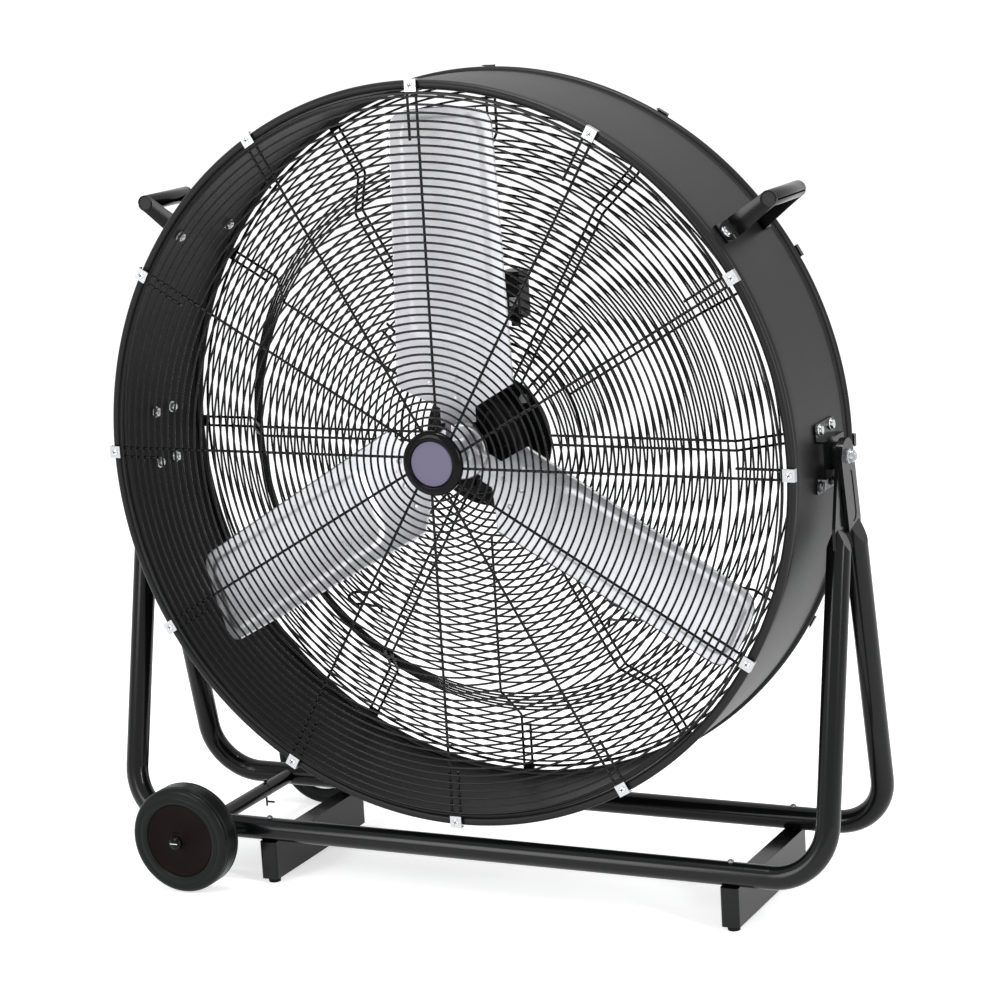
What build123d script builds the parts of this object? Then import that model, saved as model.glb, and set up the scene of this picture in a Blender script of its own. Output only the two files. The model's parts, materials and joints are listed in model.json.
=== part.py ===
from build123d import *
from math import asin, atan2, cos, degrees, hypot, radians, sin, sqrt, tan
import os

# Drum fan on a two-hoop tilting stand, with wheels at one end.
# Millimetres, +Z up, +X to the right, front grille towards -Y.
# The fan axis runs along Y above the origin, which is on the floor below the middle of
# the whole. Places along Y are counted from the pivot axis, which lies fan_y from there.

os.makedirs("parts", exist_ok=True)

# ---------------------------------------------------------------- driving sizes
pivot_height = 671.0            # floor to pivot axis and fan axis

# drum
rim_radius = 550.0              # outside of the rolled beads
bead_wire = 7.0                 # radius of a rolled bead
drum_front = -133.0             # centre plane of the front bead
drum_rear = 106.0               # centre plane of the rear bead
shell_thickness = 1.5
shell_step = 5.0                # the shell lies this far inside the bead's outside

# grille wires
spoke_wire = 2.0                # radius of the radial wires
ring_wire = 1.5                 # radius of the thin ring wires
stout_wire = 2.4                # radius of the outermost rings, welded to the radial wires
mount_wire = 1.7                # radius of the ring around the motor plate
ring_pitch = 11.5
wire_sides = 6                  # sides of a ring wire's section
wire_gap = 0.05                 # left between crossing wires
spoke_pair_half = 7.0           # half the distance between paired wires
spoke_count = 12
stub_inner = 465.0
rim_ring_inset = 18.0           # rim outside to the thick outer ring
first_front_ring = 56.0
centre_plate_radius = 44.0
centre_plate_thickness = 2.0

# rear grille recess
recess_depth = 69.0             # forward step of the rear grille's middle
recess_outer = 451.0            # radius where the step starts
recess_inner = 395.0            # radius where the step ends
mount_ring_radius = 150.0
pair_inner = 80.0               # inner ends of the paired rear wires
strut_outer = 237.0             # outer ends of the diagonal motor struts
first_rear_ring = 116.0

# rim clips
clip_size = 18.0
clip_thickness = 1.5
clip_hook = 9.0
clip_gap = 0.2
clip_screw_radius = 2.0
clip_screw_head = 4.8
clip_screw_head_height = 2.2
clip_screw_depth = 10.0
clip_hole_gap = 0.15

# badge
badge_radius = 48.0
badge_face_radius = 34.0
badge_depth = 9.0
badge_face_thickness = 1.2
badge_recess = 1.4
badge_round = 5.0

# motor
motor_radius = 74.0
motor_front = -14.0
motor_wall = 3.0
bell_depth = 14.0
bell_nose_radius = 30.0
bell_nose_depth = 8.0
motor_plate_radius = 103.0
motor_plate_thickness = 3.0
plate_bolt_circle = 90.0
motor_screw_circle = 62.0
shaft_radius = 8.0
shaft_fit = 0.05
stator_inner = 42.0
rotor_air_gap = 0.6
core_half_length = 11.0
bearing_outer = 17.5
bearing_width = 8.0
bell_round = 8.0
bell_slot_circle = 50.0
bell_slot_count = 12
bell_slot_length = 22.0
bell_slot_width = 6.0
bell_shaft_gap = 1.0
rear_bell_skirt = 4.0
plate_centre_hole = 12.0
plate_bolt_radius = 4.0
plate_washer_radius = 11.0
plate_washer_thickness = 2.0
motor_screw_radius = 2.5
motor_screw_head = 5.0
motor_screw_head_height = 3.0
stator_slot_circle = 52.0
stator_slot_count = 24
stator_slot_length = 12.0
stator_slot_width = 4.0
shaft_nose = 6.0                # shaft showing in front of the hub
shaft_chamfer = 0.8

# blades
blade_count = 3
blade_plane = -56.0             # plane where the blade roots meet the hub
blade_pitch = 18.0              # degrees
blade_tip = 505.0
blade_chord = 150.0             # at the tip
blade_root_chord = 172.0        # across the shoulders
blade_camber = 8.0
blade_thickness = 2.0
blade_root = 43.0               # inner end of the root tab
root_half_width = 26.0
root_shoulder = 66.0            # radius where the tab starts to widen
root_slope = 30.0               # degrees of the sloping root edges
tip_round = 22.0
panel_rise = 2.0
panel_inner = 172.0
panel_outer_margin = 15.0
panel_side_margin = 17.0
panel_round = 14.0
rivet_circle = 110.0
rivet_spread = 20.0             # degrees
inner_rivet_circle = 79.0
rivet_radius = 2.4
rivet_head_radius = 4.6
rivet_head_height = 2.0
rivet_gap = 0.05

# hub
hub_disc_radius = 42.0
hub_disc_thickness = 11.0
hub_boss_radius = 19.0
hub_boss_length = 30.0
hub_disc_round = 3.0
arm_neck_half = 20.0
arm_end_half = 50.0
arm_end_radius = 124.0
arm_flare_start = 72.0
arm_flare_end = 102.0
arm_corner = 6.0
arm_thickness = 3.0
arm_gap = 0.05
trim_margin = 2.0               # curved sheets are made this much too big, then trimmed
set_screw_radius = 3.0
set_screw_length = 10.0

# switch box
switch_x = 44.0
switch_z = 216.0                # above the fan axis
switch_width = 32.0
switch_height = 71.0
switch_depth = 32.0
switch_wall = 2.0
switch_cover_thickness = 2.5
knob_radius = 13.0
knob_length = 14.0
knob_stem = 3.0
knob_shift = 12.0               # knob centre above the box centre
knob_gap = 0.3
gland_radius = 8.0
gland_length = 12.0
gland_bore = 4.0
gland_thread = 5.6
clamp_thickness = 1.5
clamp_height = 58.0
knob_base = 5.0
knob_grip_width = 8.0
switch_screw_radius = 2.0
switch_screw_side = 8.0         # screw to the right of the box centre
switch_screw_drop = 4.0         # and below it
switch_washer = 13.0            # side of its square washer
switch_washer_thickness = 1.5

# cord hooks
hook_wire = 2.5
hook_radius = 338.0
hook_angle = 141.0              # clockwise from the top, seen from the front
hook_reach = 42.0
hook_lip = 26.0
hook_bend = 9.0

# handles
handle_angle = 53.5             # from the top
handle_y = -10.0
handle_foot_half = 72.0
handle_span_half = 60.0
handle_rise = 78.0              # drum surface to the grip's centre
handle_width = 30.0
handle_thickness = 4.0
handle_foot_length = 28.0
grip_radius = 12.0
grip_wall = 2.0
grip_slot = 5.0
grip_seam_turn = 45.0           # seam from the outward direction, towards the top

# pivot brackets
hat_plate_half = 40.0           # half the width along the drum
hat_half_height = 27.0
hat_standoff = 12.0
hat_thickness = 3.0
hat_foot = 23.0
hat_corner = 6.0
hat_bolt_y = 24.0
hat_bolt_z = 40.0
drum_bolt_radius = 4.0
drum_bolt_length = 16.0
pivot_radius = 5.0
pivot_fit = 0.05
pivot_head_radius = 9.2
pivot_head_height = 6.4
spacer_radius = 20.0
spacer_thickness = 8.0
pivot_washer_radius = 10.5
pivot_washer_thickness = 2.0
pivot_nut_height = 8.0

# stand hoops
tube_radius = 17.5
tube_wall = 2.0
hoop_half_depth = 132.0         # pivot to the floor tubes, along Y
tube_height = 84.5              # floor to the centre of the floor tubes
hoop_bend = 80.0
flat_thickness = 5.0
flat_half_width = 26.0
flat_groove_width = 22.0
flat_groove_depth = 1.0
flat_groove_start = 22.0        # pivot to the pressed groove
flat_groove_end = 100.0
flat_length = 104.0             # pivot to the end of the flattened part
flat_blend = 30.0

# cross channels and feet
channel_left = -327.0
channel_right = 429.0
channel_width = 28.0
channel_half_length = 146.0
channel_wall = 2.0
channel_slot_length = 200.0     # open slot along the underside
channel_slot_width = 16.0
channel_round = 5.0
foot_height = 8.0
foot_radius = 10.0
foot_inset = 16.0
foot_screw_radius = 2.5
foot_stem = 9.0
foot_taper = 6.0                # degrees
foot_sink = 1.0                 # how far the screw is moulded into the foot
channel_bolt_radius = 3.0
channel_bolt_head = 6.0
channel_bolt_head_height = 4.0
tube_seat_gap = 0.1

# axle and wheels
axle_x = -436.0
axle_radius = 8.0
axle_fit = 0.1
wheel_radius = 82.5
wheel_width = 45.0
front_wheel_clearance = 30.0    # tube surface to the wheel's inner side
rear_wheel_clearance = 78.0
wheel_side_gap = 0.5            # between a wheel and what holds it along the axle
disc_inset = 3.0                # wheel disc inside the tyre's side
tyre_round = 7.0
tyre_groove_radius = 1.6
tyre_groove_spread = 12.0       # grooves either side of the tread's middle
sidewall_groove_circle = 68.0
cap_slot = 2.0
tyre_inner = 57.0
disc_thickness = 2.0
wheel_hub_radius = 13.0
hub_overhang = 5.0              # hub beyond the tyre's outer side
wheel_bore_fit = 0.1
axle_end = 5.0                  # axle showing beyond the wheel hub
axle_cap_radius = 10.5
axle_cap_height = 9.0
sleeve_radius = 11.5
sleeve_end = 38.0               # where the long sleeve stops, along Y
pin_radius = 1.6
pin_length = 21.0
pin_leg = 14.0
pin_inset = 7.0                 # behind the seam between the two sleeves
sleeve_seam = 1.5
seat_gap = 0.2                  # left between stacked flat faces
clearance_hole = 0.2            # added to the radius of bolt holes
thread_gap = 0.02               # between a bolt and its nut
turn_gap = 0.3                  # between flat faces that turn past each other
m8_head_radius = 7.5            # across the corners
m8_head_height = 5.3
m8_nut_height = 6.5
bolt_tail = 2.0                 # bolt showing beyond its nut

# ---------------------------------------------------------------- worked out
shell_radius = rim_radius - shell_step
shell_inner = shell_radius - shell_thickness
bracket_bolt_turn = degrees(asin(hat_bolt_z / shell_radius))
bead_radius = rim_radius - bead_wire
front_face = drum_front - bead_wire
rear_face = drum_rear + bead_wire
front_spoke_y = front_face - spoke_wire - wire_gap
front_ring_y = front_spoke_y - spoke_wire - ring_wire - wire_gap
rear_spoke_y = rear_face + spoke_wire + wire_gap
recess_y = rear_spoke_y - recess_depth
ring_offset = spoke_wire + ring_wire + wire_gap
rim_ring_radius = rim_radius - rim_ring_inset
spoke_end = bead_radius - spoke_wire
plate_rear = recess_y - spoke_wire - wire_gap
plate_front = plate_rear - motor_plate_thickness
motor_rear = plate_front - seat_gap
barrel_rear = motor_rear - motor_wall - rear_bell_skirt - seat_gap
barrel_front = motor_front + bell_depth + seat_gap
core_middle = (barrel_front + barrel_rear) / 2
hub_middle = blade_plane + blade_thickness + arm_thickness / 2
hat_plate_inner = shell_radius + hat_standoff
hat_plate_outer = hat_plate_inner + hat_thickness
spacer_inner = hat_plate_outer + turn_gap
front_flat_inner = spacer_inner + spacer_thickness + seat_gap
rear_flat_inner = front_flat_inner + flat_thickness + seat_gap
front_leg_x = front_flat_inner + flat_thickness / 2
rear_leg_x = rear_flat_inner + flat_thickness / 2
washer_inner = rear_flat_inner + flat_thickness + seat_gap
nut_inner = washer_inner + pivot_washer_thickness + seat_gap
hoop_drop = pivot_height - tube_height
hoop_lean = degrees(atan2(hoop_half_depth, hoop_drop))
hoop_reach = hypot(hoop_half_depth, hoop_drop)
channel_top = tube_height - tube_radius - tube_seat_gap
clip_plate_y = front_spoke_y - spoke_wire - clip_gap
rear_clip_plate_y = rear_spoke_y + spoke_wire + clip_gap
chord_half = blade_chord / 2
shoulder_half = blade_root_chord / 2
camber_radius = (chord_half ** 2 + blade_camber ** 2) / (2 * blade_camber)

fan_y = (front_wheel_clearance - rear_wheel_clearance) / 2
fan_origin = Vector(0, fan_y, pivot_height)
diagonals = [45, 135, 225, 315]
hours = [360 / spoke_count * i for i in range(spoke_count)]


def clock(angle, radius, y, across=0.0):
    """Point at a clock angle in degrees, seen from the front, in the fan's frame."""
    a = radians(angle)
    return fan_origin + Vector(radius * sin(a) + across * cos(a), y,
                               radius * cos(a) - across * sin(a))


def stand_spot(x, y, z):
    """Point of the stand: x from the fan axis, y from the pivot axis, z from the floor."""
    return Vector(x, fan_y + y, z)


def radial_plane(angle, radius, y=0.0):
    """Plane whose normal points outwards at a clock angle; its local x runs along Y."""
    a = radians(angle)
    return Plane(origin=clock(angle, radius, y), x_dir=(0, 1, 0), z_dir=(sin(a), 0, cos(a)))


def front_plane(y):
    """Plane across the fan axis, local x right and local y up, normal towards the front."""
    return Plane(origin=fan_origin + Vector(0, y, 0), x_dir=(1, 0, 0), z_dir=(0, -1, 0))


def side_spot(x, y, z, side, facing):
    """Plane across X beside the drum; facing 1 points outwards and -1 inwards."""
    return Plane(origin=fan_origin + Vector(side * x, y, z), x_dir=(0, 1, 0),
                 z_dir=(side * facing, 0, 0))


def profile_plane(angle):
    """Half plane through the fan axis: local x is the radius, local y runs forwards."""
    a = radians(angle)
    return Plane(origin=fan_origin, x_dir=(sin(a), 0, cos(a)), z_dir=(-cos(a), 0, sin(a)))


def local_y(plane, y):
    """Local y coordinate, on a plane through the fan axis, of the world coordinate y."""
    return plane.to_local_coords(fan_origin + Vector(0, y, 0)).Y


def save(builder, name):
    builder.part.label = name
    export_step(builder.part, f"parts/{name}.step")


# ---------------------------------------------------------------- drum shell
profile = profile_plane(90)
shell_ends = (local_y(profile, drum_front), local_y(profile, drum_rear))
handle_bolt_spots = [(angle, handle_y + shift) for angle in (handle_angle, 360 - handle_angle)
                     for shift in (-handle_foot_half, handle_foot_half)]
bracket_bolt_spots = [(angle + turn, y) for angle in (90, 270)
                      for turn in (-bracket_bolt_turn, bracket_bolt_turn)
                      for y in (-hat_bolt_y, hat_bolt_y)]
fan_axis = Axis(fan_origin, (0, 1, 0))

with BuildPart() as drum_shell:
    with BuildSketch(profile):
        with Locations(((shell_radius + shell_inner) / 2, sum(shell_ends) / 2)):
            Rectangle(shell_thickness, abs(shell_ends[0] - shell_ends[1]))
        with Locations(*[(bead_radius, end) for end in shell_ends]):
            Circle(bead_wire)
    revolve(axis=fan_axis, revolution_arc=360)
    # screw holes for the rim clips
    with BuildSketch(front_plane(front_face)):
        with PolarLocations(bead_radius, spoke_count, start_angle=90):
            Circle(clip_screw_radius + clip_hole_gap)
    extrude(amount=-clip_screw_depth, mode=Mode.SUBTRACT)
    with BuildSketch(front_plane(rear_face)):
        with PolarLocations(bead_radius, spoke_count, start_angle=90):
            Circle(clip_screw_radius + clip_hole_gap)
    extrude(amount=clip_screw_depth, mode=Mode.SUBTRACT)
    # bolt holes for the pivot brackets and the handles
    for angle, bolt_y in bracket_bolt_spots + handle_bolt_spots:
        with BuildSketch(radial_plane(angle, shell_inner - hat_standoff, bolt_y)):
            Circle(drum_bolt_radius + clearance_hole)
        extrude(amount=2 * hat_standoff, mode=Mode.SUBTRACT)
save(drum_shell, "drum_shell")


# ---------------------------------------------------------------- front grille
def rod(start, end, radius):
    """Straight round wire between two points, added to the part being built."""
    with BuildSketch(Plane(origin=start, z_dir=end - start)) as section:
        Circle(radius)
    extrude(section.sketch, amount=(end - start).length)


def wire_ring(ring_radius, y, radius):
    """Closed ring of many-sided wire about the fan axis, added to the part being built."""
    with BuildSketch(profile) as section:
        with Locations((ring_radius, local_y(profile, y))):
            RegularPolygon(radius=radius, side_count=wire_sides)
    revolve(section.sketch, axis=fan_axis, revolution_arc=360)


with BuildPart() as front_grille_spokes:
    for hour in hours:
        rod(clock(hour, centre_plate_radius / 2, front_spoke_y, spoke_pair_half),
            clock(hour, spoke_end, front_spoke_y, spoke_pair_half), spoke_wire)
        rod(clock(hour, stub_inner, front_spoke_y, -spoke_pair_half),
            clock(hour, spoke_end, front_spoke_y, -spoke_pair_half), spoke_wire)
    wire_ring(rim_ring_radius, front_spoke_y, stout_wire)
    with BuildSketch(front_plane(front_spoke_y + centre_plate_thickness / 2)):
        Circle(centre_plate_radius)
    extrude(amount=centre_plate_thickness)
save(front_grille_spokes, "front_grille_spokes")

front_ring_count = int((rim_ring_radius - first_front_ring) / ring_pitch)
with BuildPart() as front_grille_rings:
    for i in range(front_ring_count + 1):
        wire_ring(first_front_ring + i * ring_pitch, front_ring_y, ring_wire)
save(front_grille_rings, "front_grille_rings")


# ---------------------------------------------------------------- badge
badge_back_y = front_spoke_y - spoke_wire - clip_gap
with BuildPart() as badge_holder:
    with BuildSketch(front_plane(badge_back_y)):
        Circle(badge_radius)
    extrude(amount=badge_depth)
    outer_edge = badge_holder.edges().filter_by(GeomType.CIRCLE).sort_by(Axis.Y)[0]
    fillet(outer_edge, radius=badge_round)
    with BuildSketch(front_plane(badge_back_y - badge_depth)):
        Circle(badge_face_radius + clip_gap)
    extrude(amount=-(badge_recess + badge_face_thickness), mode=Mode.SUBTRACT)
save(badge_holder, "badge_holder")

with BuildPart() as badge_face:
    with BuildSketch(front_plane(badge_back_y - badge_depth + badge_recess)):
        Circle(badge_face_radius)
    extrude(amount=-badge_face_thickness + wire_gap)
save(badge_face, "badge_face")


# ---------------------------------------------------------------- rear grille
def stepped_wire(angle, inner, across):
    """One bent wire of the rear grille, from the rim down into the recess."""
    points = [
        clock(angle, spoke_end, rear_spoke_y, across),
        clock(angle, recess_outer, rear_spoke_y, across),
        clock(angle, recess_inner, recess_y, across),
        clock(angle, inner, recess_y, across),
    ]
    with BuildLine() as route:
        FilletPolyline(*points, radius=4 * spoke_wire)
    with BuildSketch(Plane(origin=points[0], z_dir=points[1] - points[0])) as section:
        Circle(spoke_wire)
    sweep(section.sketch, path=route.line)


with BuildPart() as rear_grille_spokes:
    for index, hour in enumerate(hours):
        if index % 2:
            stepped_wire(hour, pair_inner, spoke_pair_half)
            stepped_wire(hour, pair_inner, -spoke_pair_half)
        else:
            stepped_wire(hour, mount_ring_radius, spoke_pair_half)
            rod(clock(hour, stub_inner, rear_spoke_y, -spoke_pair_half),
                clock(hour, spoke_end, rear_spoke_y, -spoke_pair_half), spoke_wire)
    for diagonal in diagonals:
        for across in (spoke_pair_half, -spoke_pair_half):
            rod(clock(diagonal, pair_inner, recess_y, across),
                clock(diagonal, strut_outer, recess_y, across), spoke_wire)
    wire_ring(mount_ring_radius, recess_y, mount_wire)
    wire_ring(rim_ring_radius, rear_spoke_y, stout_wire)
save(rear_grille_spokes, "rear_grille_spokes")

step_length = hypot(recess_outer - recess_inner, recess_depth)
step_normal = (recess_depth / step_length, (recess_outer - recess_inner) / step_length)
middle_ring_count = int((recess_inner - ring_pitch / 2 - first_rear_ring) / ring_pitch)
step_ring_count = int(step_length / ring_pitch)
outer_ring_count = int((rim_ring_radius - recess_outer) / ring_pitch)
with BuildPart() as rear_grille_rings:
    for i in range(middle_ring_count + 1):
        wire_ring(first_rear_ring + i * ring_pitch, recess_y + ring_offset, ring_wire)
    for i in range(1, step_ring_count):
        share = i / step_ring_count
        along = recess_inner + share * (recess_outer - recess_inner)
        wire_ring(along - step_normal[0] * ring_offset,
                  recess_y + share * recess_depth + step_normal[1] * ring_offset, ring_wire)
    for i in range(outer_ring_count):
        wire_ring(recess_outer + (i + 0.5) * ring_pitch, rear_spoke_y + ring_offset, ring_wire)
save(rear_grille_rings, "rear_grille_rings")


# ---------------------------------------------------------------- rim clips
def rim_clips(plate_y, outward):
    """Twelve bent clips over one rim; outward is -1 at the front and 1 at the rear."""
    outer_y = plate_y + outward * clip_thickness
    plate_inner = bead_radius - clip_size / 2
    hook_radius_in = rim_radius + clip_gap
    for hour in hours:
        with BuildSketch(radial_plane(hour, plate_inner, (plate_y + outer_y) / 2)) as plate:
            Rectangle(clip_thickness, clip_size)
        extrude(plate.sketch, amount=hook_radius_in + clip_thickness - plate_inner)
        with BuildSketch(radial_plane(hour, hook_radius_in, outer_y - outward * clip_hook / 2)) as hook:
            Rectangle(clip_hook, clip_size)
        extrude(hook.sketch, amount=clip_thickness)
    with BuildSketch(front_plane(plate_y)) as holes:
        with PolarLocations(bead_radius, spoke_count, start_angle=90):
            Circle(clip_screw_radius + clip_hole_gap)
    extrude(holes.sketch, amount=2 * clip_thickness, both=True, mode=Mode.SUBTRACT)


def clip_screws(plate_outer_y, outward):
    """Twelve slotted screws through the clips into the bead."""
    bead_face = front_face if outward < 0 else rear_face
    seat_y = plate_outer_y + outward * clip_hole_gap
    shank = abs(seat_y - bead_face) + clip_screw_depth - clip_hole_gap
    with BuildSketch(front_plane(seat_y)) as heads:
        with PolarLocations(bead_radius, spoke_count, start_angle=90):
            Circle(clip_screw_head)
    extrude(heads.sketch, amount=-outward * clip_screw_head_height)
    with BuildSketch(front_plane(seat_y)) as shanks:
        with PolarLocations(bead_radius, spoke_count, start_angle=90):
            Circle(clip_screw_radius)
    extrude(shanks.sketch, amount=outward * shank)
    with BuildSketch(front_plane(seat_y + outward * clip_screw_head_height)) as slots:
        with PolarLocations(bead_radius, spoke_count, start_angle=90):
            Rectangle(2 * clip_screw_head, clip_screw_head / 4)
    extrude(slots.sketch, amount=outward * clip_screw_head_height / 2, mode=Mode.SUBTRACT)


with BuildPart() as front_clips:
    rim_clips(clip_plate_y, -1)
save(front_clips, "front_clips")

with BuildPart() as rear_clips:
    rim_clips(rear_clip_plate_y, 1)
save(rear_clips, "rear_clips")

with BuildPart() as rim_screws:
    clip_screws(clip_plate_y - clip_thickness, -1)
    clip_screws(rear_clip_plate_y + clip_thickness, 1)
save(rim_screws, "clip_screws")


# ---------------------------------------------------------------- fasteners
def hex_bolt(plane, head_radius, head_height, shank_radius, shank_length):
    """Hexagon bolt whose head stands on the plane, with its shank behind it."""
    with BuildSketch(plane) as head:
        RegularPolygon(radius=head_radius, side_count=6)
    extrude(head.sketch, amount=head_height)
    with BuildSketch(plane) as shank:
        Circle(shank_radius)
    extrude(shank.sketch, amount=-shank_length)


def hex_nut(plane, nut_radius, nut_height, bore_radius):
    """Hexagon nut standing on the plane."""
    with BuildSketch(plane) as nut:
        RegularPolygon(radius=nut_radius, side_count=6)
        Circle(bore_radius, mode=Mode.SUBTRACT)
    extrude(nut.sketch, amount=nut_height)


def across_axis(angle, radius, y, outward):
    """Plane across the fan axis at a clock position; outward -1 faces the front."""
    return Plane(origin=clock(angle, radius, y), x_dir=(1, 0, 0), z_dir=(0, outward, 0))


def facing_in(plane):
    """The same place, facing the other way."""
    return Plane(origin=plane.origin, x_dir=plane.x_dir, z_dir=-plane.z_dir)


# ---------------------------------------------------------------- motor
with BuildPart() as motor_plate:
    with BuildSketch(front_plane(plate_rear)):
        Circle(motor_plate_radius)
        Circle(plate_centre_hole, mode=Mode.SUBTRACT)
        with PolarLocations(plate_bolt_circle, len(diagonals), start_angle=diagonals[0]):
            Circle(plate_bolt_radius + clearance_hole, mode=Mode.SUBTRACT)
        with PolarLocations(motor_screw_circle, len(diagonals), start_angle=diagonals[0]):
            Circle(motor_screw_radius + clearance_hole, mode=Mode.SUBTRACT)
    extrude(amount=motor_plate_thickness)
save(motor_plate, "motor_plate")

with BuildPart() as motor_housing:
    with BuildSketch(front_plane(barrel_rear)):
        Circle(motor_radius)
        Circle(motor_radius - motor_wall, mode=Mode.SUBTRACT)
    extrude(amount=barrel_rear - barrel_front)
save(motor_housing, "motor_housing")

with BuildPart() as motor_front_bell:
    with BuildSketch(front_plane(barrel_front - seat_gap)):
        Circle(motor_radius)
    extrude(amount=bell_depth)
    fillet(motor_front_bell.edges().sort_by(Axis.Y)[0], radius=bell_round)
    with BuildSketch(front_plane(motor_front + wire_gap)):
        Circle(bell_nose_radius)
    extrude(amount=bell_nose_depth)
    with BuildSketch(front_plane(barrel_front - seat_gap)):
        Circle(motor_radius - motor_wall)
    extrude(amount=bell_depth - motor_wall, mode=Mode.SUBTRACT)
    with BuildSketch(front_plane(motor_front + motor_wall)):
        Circle(bearing_outer + thread_gap)
    extrude(amount=bearing_width + seat_gap, mode=Mode.SUBTRACT)
    with BuildSketch(front_plane(motor_front)):
        Circle(shaft_radius + bell_shaft_gap)
        with PolarLocations(bell_slot_circle, bell_slot_count):
            SlotOverall(bell_slot_length, bell_slot_width)
    extrude(amount=2 * bell_depth, both=True, mode=Mode.SUBTRACT)
save(motor_front_bell, "motor_front_bell")

with BuildPart() as motor_rear_bell:
    with BuildSketch(front_plane(motor_rear)):
        Circle(motor_radius)
        with PolarLocations(motor_screw_circle, len(diagonals), start_angle=diagonals[0]):
            Circle(motor_screw_radius + clearance_hole, mode=Mode.SUBTRACT)
    extrude(amount=motor_wall)
    with BuildSketch(front_plane(motor_rear - motor_wall)):
        Circle(motor_radius)
        Circle(motor_radius - motor_wall, mode=Mode.SUBTRACT)
    extrude(amount=rear_bell_skirt)
    with BuildSketch(front_plane(motor_rear - motor_wall)):
        Circle(bearing_outer + 2 * motor_wall)
        Circle(bearing_outer + thread_gap, mode=Mode.SUBTRACT)
    extrude(amount=bearing_width)
save(motor_rear_bell, "motor_rear_bell")

bearing_faces = (motor_front + motor_wall, motor_rear - motor_wall - seat_gap)
with BuildPart() as motor_bearings:
    for face_y in bearing_faces:
        with BuildSketch(front_plane(face_y)) as bearing:
            Circle(bearing_outer)
            Circle(shaft_radius + shaft_fit, mode=Mode.SUBTRACT)
        extrude(bearing.sketch, amount=bearing_width)
save(motor_bearings, "motor_bearings")

with BuildPart() as motor_stator:
    with BuildSketch(front_plane(core_middle)):
        Circle(motor_radius - motor_wall - seat_gap)
        Circle(stator_inner, mode=Mode.SUBTRACT)
        with PolarLocations(stator_slot_circle, stator_slot_count):
            SlotOverall(stator_slot_length, stator_slot_width, mode=Mode.SUBTRACT)
    extrude(amount=core_half_length, both=True)
save(motor_stator, "motor_stator")

with BuildPart() as motor_rotor:
    with BuildSketch(front_plane(core_middle)):
        Circle(stator_inner - rotor_air_gap)
        Circle(shaft_radius + wire_gap, mode=Mode.SUBTRACT)
    extrude(amount=core_half_length, both=True)
save(motor_rotor, "motor_rotor")

shaft_rear = motor_rear - motor_wall - turn_gap
shaft_front = hub_middle - hub_boss_length / 2 - shaft_nose
with BuildPart() as motor_shaft:
    with BuildSketch(front_plane(shaft_rear)):
        Circle(shaft_radius)
    extrude(amount=shaft_rear - shaft_front)
    chamfer(motor_shaft.edges().filter_by(GeomType.CIRCLE), length=shaft_chamfer)
save(motor_shaft, "motor_shaft")

plate_washer_y = recess_y + spoke_wire + wire_gap
plate_nut_y = plate_washer_y + plate_washer_thickness + wire_gap
with BuildPart() as motor_plate_bolts:
    for diagonal in diagonals:
        hex_bolt(across_axis(diagonal, plate_bolt_circle, plate_front - wire_gap, -1),
                 m8_head_radius, m8_head_height, plate_bolt_radius,
                 plate_nut_y + m8_nut_height + bolt_tail - plate_front)
save(motor_plate_bolts, "motor_plate_bolts")

with BuildPart() as motor_plate_nuts:
    for diagonal in diagonals:
        with BuildSketch(across_axis(diagonal, plate_bolt_circle, plate_washer_y, 1)) as washer:
            Circle(plate_washer_radius)
            Circle(plate_bolt_radius + thread_gap, mode=Mode.SUBTRACT)
        extrude(washer.sketch, amount=plate_washer_thickness)
        hex_nut(across_axis(diagonal, plate_bolt_circle, plate_nut_y, 1),
                m8_head_radius, m8_nut_height, plate_bolt_radius + thread_gap)
save(motor_plate_nuts, "motor_plate_nuts")

motor_screw_seat = plate_rear + wire_gap
with BuildPart() as motor_screws:
    for diagonal in diagonals:
        hex_bolt(across_axis(diagonal, motor_screw_circle, motor_screw_seat, 1),
                 motor_screw_head, motor_screw_head_height, motor_screw_radius,
                 motor_screw_seat - motor_rear + motor_wall)
save(motor_screws, "motor_screws")


# ---------------------------------------------------------------- hub and blades
def blade_frame(angle, radius):
    """Plane in the pitched blade: local x along the chord, local y outwards."""
    a = radians(angle)
    p = radians(blade_pitch)
    tangent = Vector(cos(a), 0, -sin(a))
    axial = Vector(0, 1, 0)
    return Plane(origin=clock(angle, radius, blade_plane),
                 x_dir=tangent * cos(p) + axial * sin(p),
                 z_dir=tangent * sin(p) - axial * cos(p))


def section_frame(angle, radius):
    """Plane across a blade: local x along the chord, local y towards the front."""
    flat = blade_frame(angle, radius)
    return Plane(origin=flat.origin, x_dir=flat.x_dir, z_dir=-flat.y_dir)


def cambered_strip(front, thickness, half_width):
    """Curved strip section; front is its front face's place at mid chord."""
    inner = camber_radius - front
    reach = degrees(asin(half_width / camber_radius))
    centre = (0, camber_radius)
    with BuildLine() as outline:
        inner_arc = CenterArc(centre, inner, 270 - reach, 2 * reach)
        outer_arc = CenterArc(centre, inner + thickness, 270 - reach, 2 * reach)
        Line(inner_arc @ 0, outer_arc @ 0)
        Line(inner_arc @ 1, outer_arc @ 1)
    make_face(outline.edges())


def blade_outline():
    """Blade seen along its normal: root tab, sloping shoulders and rounded tip."""
    shoulder = root_shoulder + (shoulder_half - root_half_width) * tan(radians(root_slope))
    tip_side = sqrt(blade_tip ** 2 - chord_half ** 2)
    with BuildLine() as outline:
        Polyline(
            (chord_half, tip_side),
            (shoulder_half, shoulder),
            (root_half_width, root_shoulder),
            (root_half_width, blade_root),
            (-root_half_width, blade_root),
            (-root_half_width, root_shoulder),
            (-shoulder_half, shoulder),
            (-chord_half, tip_side))
        ThreePointArc((chord_half, tip_side), (0, blade_tip), (-chord_half, tip_side))
    make_face(outline.edges())


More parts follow.
